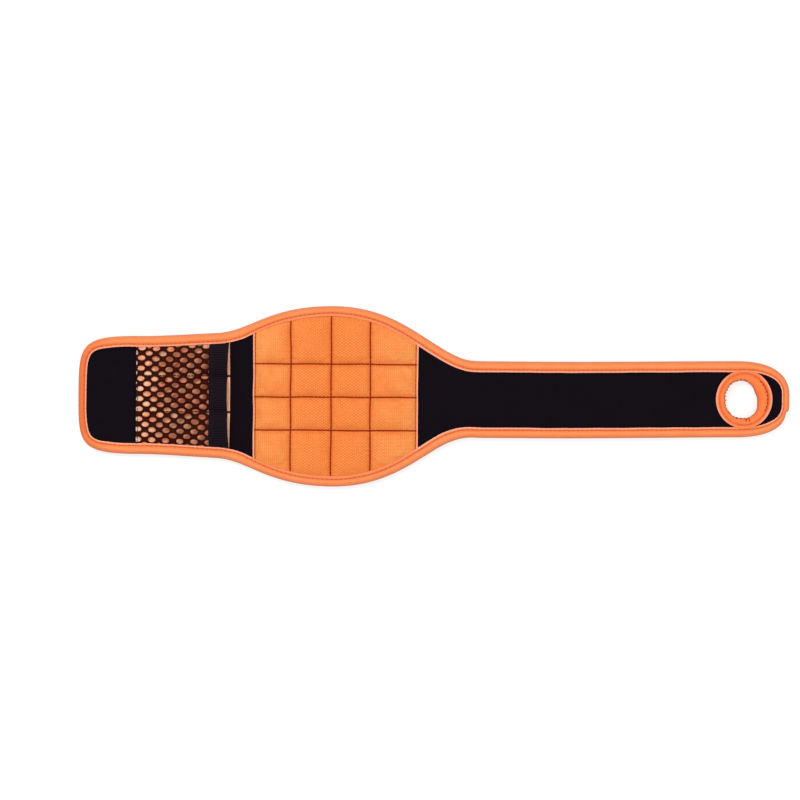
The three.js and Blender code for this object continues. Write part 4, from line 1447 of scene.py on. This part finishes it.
def pocket_hem():
    """Elastic across the pocket's mouth: ribs that run across it, with a rolled edge on both sides."""
    xs = np.linspace(HEM_START - 0.4, POCKET_MOUTH, 24)
    shares = np.linspace(-1, 1, 420)
    plan, faces = grid_plan(xs, lambda x: shares * half_width(x, HEM_INSET))
    from_start = plan[:, 0] - xs[0]
    plan[:, 0] += HEM_BOW * mouth_bow(plan[:, 1]) * ease((plan[:, 0] - HEM_START) / 12)
    ribs = np.abs(np.sin(math.pi * plan[:, 1] / RIB_PITCH)) ** 0.8
    from_side = np.minimum(from_start, xs[-1] - xs[0] - from_start)
    ribs = ribs * ease((from_side - 1.2) / 0.8)
    rolled = rounded(np.clip(from_side, 0, HEM_ROLL) / HEM_ROLL)
    low = pocket_base(plan, *HEM_LOW) + arch(plan)
    thick = ease((edge_depth(plan) + 0.4) / 3)
    high = low + 0.3 + thick * (0.8 * rolled + 0.26 * ribs)
    points, faces = slab(plan, faces, low, high)
    piece = make_piece("pocket_hem_elastic", points, faces, ELASTIC, points, angle=80)
    stand_for(piece, "pocket_hem", "tab")


def pocket_stitches():
    """Seams that divide the pocket, tacks at its mouth, and the rows that hold the net and the hem."""
    parts = []
    for i, y in enumerate(POCKET_SEAMS):
        places, headings = seam_line((POCKET_START + 0.5, y), (POCKET_MOUTH - 0.4, y), 2.6, 0.25, 41.0 + i)
        high = np.where(places[:, 0] > HEM_START - 1, 6.25, 5.75)
        parts.append(stitches(np.column_stack([places, high]), headings, 2.5, POCKET_THREAD_RADIUS))
        tack = np.array([(POCKET_MOUTH + 0.9, y + aside, 5.35) for aside in (-0.4, 0.0, 0.4)])
        parts.append(stitches(tack, [(1, 0)] * len(tack), 3.4, POCKET_THREAD_RADIUS))
    x, reach = POCKET_START + 1.1, half_width(POCKET_START, 7.8)
    places, headings = seam_line((x, -reach), (x, reach), 2.6, 0.2, 51.0)
    parts.append(stitches(np.column_stack([places, np.full(len(places), 5.8)]), headings, 2.2, 0.28))
    reach = half_width(HEM_START, 8.4)
    for x in (HEM_START + 1.3, HEM_START + 2.6):
        places, headings = seam_line((x, -reach), (x, reach), 2.4, 0.15, 61.0)
        high = 6.3 + arch(places)
        parts.append(stitches(np.column_stack([places, high]), headings, 2.0, SEW_THREAD_RADIUS))
    sew("pocket_stitches", parts, BLACK_THREAD, "tab")


# Ring of tape round the thumb hole

RING_STEPS = 360
RING_STITCHES = 36
RING_SEW_HEIGHTS = ((4.86, 1), (0.22, -1))
RING_GATHER_DEPTH = 0.12
RING_GATHER_HEIGHT = 0.16

# Section of the ring, as shares of its width from its lip to the hole, and heights
RING_FRONT = (
    (0.0, 4.36), (0.0, 4.62), (0.02, 4.84), (0.06, 4.98), (0.12, 5.02), (0.18, 4.96), (0.23, 4.84),
    (0.27, 4.7), (0.3, 4.64), (0.33, 4.7), (0.38, 4.94), (0.45, 5.16), (0.54, 5.32), (0.65, 5.42),
    (0.76, 5.4), (0.86, 5.24),
)
RING_BACK = (
    (0.86, 0.0), (0.6, 0.0), (0.4, 0.04), (0.33, 0.22), (0.3, 0.32), (0.27, 0.22), (0.2, 0.03), (0.05, 0.0),
    (0.0, 0.2), (0.0, 0.6),
)
RING_INSIDE = (
    (0.03, 0.66), (0.5, 0.7), (0.84, 0.76), (0.9, 1.4), (0.92, 2.5), (0.9, 3.6), (0.84, 4.2), (0.5, 4.3),
    (0.03, 4.32),
)
RING_INSIDE_ON_TOP = (0.0,) * 6 + (1.0,) * 3
RING_ROLL_TURN = (0.25, 2.89)
RING_ROLL_POINTS = 10


def round_hole(turn, radius, height):
    """Points at angles round the hole's centre."""
    x, y = HOLE_X + radius * np.cos(turn), HOLE_Y + radius * np.sin(turn)
    return np.column_stack([x, y, height])


def half_turns(turn):
    """Angles beyond half a turn as angles the other way."""
    return np.where(turn > math.pi, turn - 2 * math.pi, turn)


def hole_radius(turn):
    """The thumb hole's edge as sewn by hand: an oval, straighter on the right and ragged on the left."""
    right = np.cos(turn) > 0
    power = np.where(right, 2.7, 2.1)
    across = np.abs(np.cos(turn)) / HOLE_HALF_LENGTH
    up = np.abs(np.sin(turn)) / HOLE_HALF_WIDTH
    oval = (across**power + up**power) ** (-1 / power)
    ragged = 0.35 * np.clip(-np.cos(turn), 0, 1) * np.sin(29 * turn + 1.3 * np.sin(5 * turn))
    return oval + ragged + 0.14 * np.sin(9 * turn + 0.8) - 2.0 * bump_at(turn, 0.72, 0.58)


def ring_outer_radius(turn):
    """Distance from the hole's centre to the outer edge of the ring, which is an oval with its own centre."""
    offset = RING_X - HOLE_X
    a = (np.cos(turn) / RING_HALF_LENGTH) ** 2 + (np.sin(turn) / RING_HALF_WIDTH) ** 2
    b = -2 * offset * np.cos(turn) / RING_HALF_LENGTH**2
    c = (offset / RING_HALF_LENGTH) ** 2 - 1
    return (-b + np.sqrt(b * b - 4 * a * c)) / (2 * a)


def lap_lift(turn):
    """How much the ring is raised on its right side, where the end of its tape lies on top."""
    return 0.45 * ease((turn + 1.25) / 0.5) * ease((0.98 - turn) / 0.05)


def lip_lift(y):
    """How much the ring is raised where it lies over the lips of the tape along the band's edges."""
    return 0.75 * ease((np.abs(y) - 14.5) / 2.5)


def ring_section():
    """Line round the folded ring, and how far each of its points belongs to the front."""
    angles = np.linspace(*RING_ROLL_TURN, RING_ROLL_POINTS)
    roll = [(0.93 + 0.07 * math.sin(a), FOLD_HEIGHT + 2.5 * math.cos(a)) for a in angles]
    roll_on_top = [max(0.0, math.cos(a)) for a in angles]
    on_top = [1.0] * len(RING_FRONT) + roll_on_top + [0.0] * len(RING_BACK) + list(RING_INSIDE_ON_TOP)
    return np.array([*RING_FRONT, *roll, *RING_BACK, *RING_INSIDE]), np.array(on_top)


def thumb_ring():
    """Tape gathered round the thumb hole."""
    turn = np.linspace(-math.pi, math.pi, RING_STEPS, endpoint=False)
    outer, hole = ring_outer_radius(turn), hole_radius(turn)
    width = outer - hole
    gathers = np.sin(31 * turn + 1.5 * np.sin(3 * turn)) * (0.6 + 0.4 * np.sin(5 * turn + 1))
    section, on_top = ring_section()
    across, height = section[:, 0], section[:, 1]
    gathered = ease((across - 0.45) / 0.5)
    sections, cloth = [], []
    for i in range(RING_STEPS):
        radius = outer[i] - width[i] * across - RING_GATHER_DEPTH * gathers[i] * gathered
        rise = height + on_top * (lap_lift(turn[i]) + RING_GATHER_HEIGHT * gathers[i] * gathered)
        x, y = radius * math.cos(turn[i]), radius * math.sin(turn[i])
        over_lips = lip_lift(y) * ease((0.75 - across) / 0.4) * on_top
        sections.append(np.column_stack([HOLE_X + x, HOLE_Y + y, rise + over_lips]))
        along = turn[i] / (2 * math.pi) * RING_STITCHES * SEW_PITCH
        seam_at = RING_SEW_INSET / width[i]
        inset = np.interp(across, [0, seam_at, 1], [TAPE_EDGE_INSET, SEW_INSET, 0])
        # The painted highlight on the ring's lip is hidden where the ring lies over the band's edges, and
        # shows in part elsewhere
        beside_lips = 0.3 + 0.7 * ease((np.abs(y) - 14) / 4)
        lip_cover = np.maximum(beside_lips, NO_PALE_LIP * (1 - on_top))
        cloth.append(np.column_stack([np.full(len(across), along), inset, lip_cover]))
    points = np.array(sections)
    count = len(section)
    faces = grid_faces(RING_STEPS, count, closed=True).tolist()
    last = (RING_STEPS - 1) * count
    faces += [[last + i, last + (i + 1) % count, (i + 1) % count, i] for i in range(count)]
    piece = make_piece("thumb_ring_tape", points.reshape(-1, 3), faces, RING_CLOTH, np.concatenate(cloth), 65)
    stand_for(piece, "thumb_ring", "thumb_loop")


def ring_stitches():
    """Seam round the ring, front and back."""
    parts = []
    turn = (np.arange(RING_STITCHES) + 0.5) * 2 * math.pi / RING_STITCHES
    radius = ring_outer_radius(turn) - RING_SEW_INSET
    heading = np.column_stack([-np.sin(turn), np.cos(turn)])
    for high, up in RING_SEW_HEIGHTS:
        height = np.full(len(turn), high) + (lap_lift(half_turns(turn)) if up > 0 else 0)
        height = height + (up > 0) * lip_lift(radius * np.sin(turn))
        parts.append(stitches(round_hole(turn, radius, height), heading, 2.3, SEW_THREAD_RADIUS, up))
    sew("ring_stitches", parts, TAPE_THREAD, "thumb_loop")


def whip_stitches():
    """Hand stitches over the hole's left edge, a seam along its right side, and thread ends below it."""
    turn = np.linspace(1.35, 5.1, 25)
    turn = turn + 0.05 * np.sin(7 * turn)
    radius = hole_radius(half_turns(turn)) + 0.55
    centres = round_hole(turn, radius, np.full(len(turn), 5.15))
    parts = [stitches(centres, np.column_stack([np.cos(turn), np.sin(turn)]), 1.7, 0.26)]
    turn = np.arange(-0.45, 0.8, 0.15)
    line = round_hole(turn, ring_outer_radius(turn) - 3.4, 4.92 + lap_lift(turn))
    headings = np.column_stack([-np.sin(turn), np.cos(turn)])
    parts.append(stitches(line, headings, 2.5, SEW_THREAD_RADIUS))
    ends = np.array([(478.7, -15.2, 5.5), (481.1, -15.1, 5.5), (472.0, -13.2, 5.3)])
    parts.append(stitches(ends, [(0.1, 1), (-0.12, 1), (1, -0.3)], 2.2, 0.32))
    sew("whip_stitches", parts, PANEL_THREAD, "thumb_loop")


# Hook patch on the back of the tab

HOOK_BACKING_LOW = 0.45
HOOK_BACKING_HIGH = 1.0
HOOK_FIELD = (HOOK_SPAN[0] + 3.2, HOOK_SPAN[1] - 2.8)
HOOK_FIELD_INSET = 2.6
HOOK_SEW_INSET = 1.4
HOOK_LINE = ((0, 0.5), (0, 0.28), (0.12, 0.1), (0.34, 0.06), (0.46, 0.2))
HOOK_THICKNESS = (0.16, 0.13, 0.11, 0.09, 0.06)
HOOK_SECTION = ((-1, -1), (1, -1), (1, 1), (-1, 1))


def hook_patch_half(x):
    """Half width of the patch at x, with round corners."""
    near = min(x - HOOK_SPAN[0], HOOK_SPAN[1] - x)
    if near >= HOOK_CORNER:
        return HOOK_HALF
    return HOOK_HALF - HOOK_CORNER + math.sqrt(max(0, HOOK_CORNER**2 - (HOOK_CORNER - near) ** 2))


def hook_patch():
    """Backing of the patch with its field of small hooks, every third of which faces the other way."""
    corner = HOOK_CORNER * (1 - np.cos(np.linspace(0, math.pi / 2, 7)))
    start, end = HOOK_SPAN
    xs = np.concatenate([start + corner, np.linspace(start + 8, end - 8, 26), (end - corner)[::-1]])
    plan, faces = grid_plan(xs, lambda x: np.linspace(-1, 1, 40) * hook_patch_half(x))
    low, high = (np.full(len(plan), height) for height in (HOOK_BACKING_LOW, HOOK_BACKING_HIGH))
    hooks = [slab(plan, faces, low, high)]
    centres = []
    for i, x in enumerate(np.arange(*HOOK_FIELD, HOOK_PITCH)):
        reach = hook_patch_half(x) - HOOK_FIELD_INSET
        ys = np.arange(-reach, reach, HOOK_PITCH) + (i % 2) * HOOK_PITCH / 2
        centres += [(x, y) for y in ys if abs(y) < reach]
    sections = np.array([
        [(x + t * across, t * aside, z + t * across * 0.5) for across, aside in HOOK_SECTION]
        for (x, z), t in zip(HOOK_LINE, HOOK_THICKNESS)
    ])
    for i, (x, y) in enumerate(centres):
        flip = np.array([-1 if i % 3 else 1, 1, 1])
        hooks.append(tube(sections * flip + np.array([x, y, 0])))
    points, faces = join_parts(hooks)
    piece = make_piece("hook_patch_tape", points, faces, HOOKS, points)
    stand_for(piece, "hook_patch", "tab")


def hook_stitches():
    """Seam round the hook patch."""
    start, end = HOOK_SPAN
    parts = []
    side, upright = HOOK_HALF - HOOK_SEW_INSET, HOOK_HALF - HOOK_CORNER
    rows = [((start + HOOK_CORNER, y), (end - HOOK_CORNER, y)) for y in (side, -side)]
    rows += [((x, -upright), (x, upright)) for x in (start + HOOK_SEW_INSET, end - HOOK_SEW_INSET)]
    for i, (first, last) in enumerate(rows):
        places, headings = seam_line(first, last, 3.0, 0.15, 71.0 + i)
        parts.append(stitches(np.column_stack([places, np.full(len(places), 0.42)]), headings, 2.3, 0.2, -1))
    sew("hook_stitches", parts, BLACK_THREAD, "tab")


def magnets():
    """The discs under the panel keep their shape and get a plated finish."""
    for name in MAGNETS:
        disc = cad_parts[name].data
        disc.materials.clear()
        disc.materials.append(NICKEL)
        disc.shade_smooth()
        disc.set_sharp_from_angle(angle=math.radians(40))


# Floor, light and camera, in metres

PHOTO_CENTRE = (-0.0243, -0.0023)
PHOTO_WIDTH = 0.5731
PHOTO_ROLL = math.radians(0.4)
LENS = 100.0
SENSOR = 36.0
BAND_TOP = 0.005
FLOOR_SIDE = 4.0
FLOOR_DROP = 0.0002
FLOOR_GREY = 0.88
FLOOR_WHITE = 1.12
FLOOR_WHITE_SHARE = 0.5
SKY_STRENGTH = 0.84
WHITE = (1, 1, 1, 1)

# Lamps: place, width in metres, and power in watts
LAMPS = {"key": ((-0.7, 0.9, 1.3), 0.5, 12.2), "fill": ((0.9, -0.6, 1.4), 0.9, 6.1)}


def seen_directly(shader):
    """1 for rays from the camera, from glossy surfaces and through glass."""
    rays = shader.add("LightPath").outputs
    seen = shader.math("MAXIMUM", rays["Is Camera Ray"], rays["Is Glossy Ray"])
    return shader.math("MAXIMUM", seen, rays["Is Transmission Ray"])


def mix_shaders(shader, share, first, second, end):
    """Mixes two shaders into an output."""
    choose = shader.add("MixShader")
    for socket, value in zip(choose.inputs, (share, first.outputs[0], second.outputs[0])):
        shader.set(socket, value)
    shader.set(end.inputs["Surface"], choose.outputs[0])


def floor():
    """A pale floor just under the band, that shows white and keeps the shadow."""
    mesh = bpy.data.meshes.new("floor")
    corners = [(x * FLOOR_SIDE, y * FLOOR_SIDE, 0) for x, y in ((-1, -1), (1, -1), (1, 1), (-1, 1))]
    mesh.from_pydata(corners, [], [(0, 1, 2, 3)])
    piece = add_object("floor", mesh)
    piece.location.z = -FLOOR_DROP
    material = bpy.data.materials.new("floor_white")
    material.use_nodes = True
    shader = Shader(material.node_tree)
    surface = shader.tree.nodes["Principled BSDF"]
    surface.inputs["Base Color"].default_value = (FLOOR_GREY, FLOOR_GREY, FLOOR_GREY, 1)
    surface.inputs["Roughness"].default_value = 1.0
    surface.inputs["Specular IOR Level"].default_value = 0.0
    white = shader.add("Emission", None, Color=WHITE, Strength=FLOOR_WHITE)
    share = shader.math("MULTIPLY", seen_directly(shader), FLOOR_WHITE_SHARE)
    mix_shaders(shader, share, surface, white, shader.tree.nodes["Material Output"])
    mesh.materials.append(material)


def light():
    """Soft light from a white sky and two round lamps. The background itself shows white."""
    world = bpy.data.worlds.new("studio")
    bpy.context.scene.world = world
    world.use_nodes = True
    shader = Shader(world.node_tree)
    soft = world.node_tree.nodes["Background"]
    soft.inputs["Color"].default_value = WHITE
    soft.inputs["Strength"].default_value = SKY_STRENGTH
    white = shader.add("Background", None, Color=WHITE, Strength=1.0)
    mix_shaders(shader, seen_directly(shader), soft, white, world.node_tree.nodes["World Output"])
    for name, (place, width, power) in LAMPS.items():
        lamp = bpy.data.lights.new(name, "AREA")
        lamp.shape = "DISK"
        lamp.size = width
        lamp.energy = power
        holder = add_object(name, lamp)
        holder.location = place
        holder.rotation_euler = Vector(place).to_track_quat("Z", "Y").to_euler()


def camera():
    """Looks straight down, with the photograph's frame."""
    data = bpy.data.cameras.new("camera")
    data.lens = LENS
    data.sensor_width = SENSOR
    holder = add_object("camera", data)
    distance = PHOTO_WIDTH * LENS / SENSOR
    holder.location = (*PHOTO_CENTRE, distance + BAND_TOP)
    holder.rotation_euler = (0, 0, PHOTO_ROLL)
    bpy.context.scene.camera = holder
    bpy.context.scene.view_settings.view_transform = "Standard"


camera()
floor()
light()
band_layers()
edge_tapes()
magnets()
panel = quilted_panel()
panel_stitches(panel)
pocket_lining()
pocket_hem()
pocket_net()
pocket_stitches()
thumb_ring()
ring_stitches()
whip_stitches()
hook_patch()
hook_stitches()
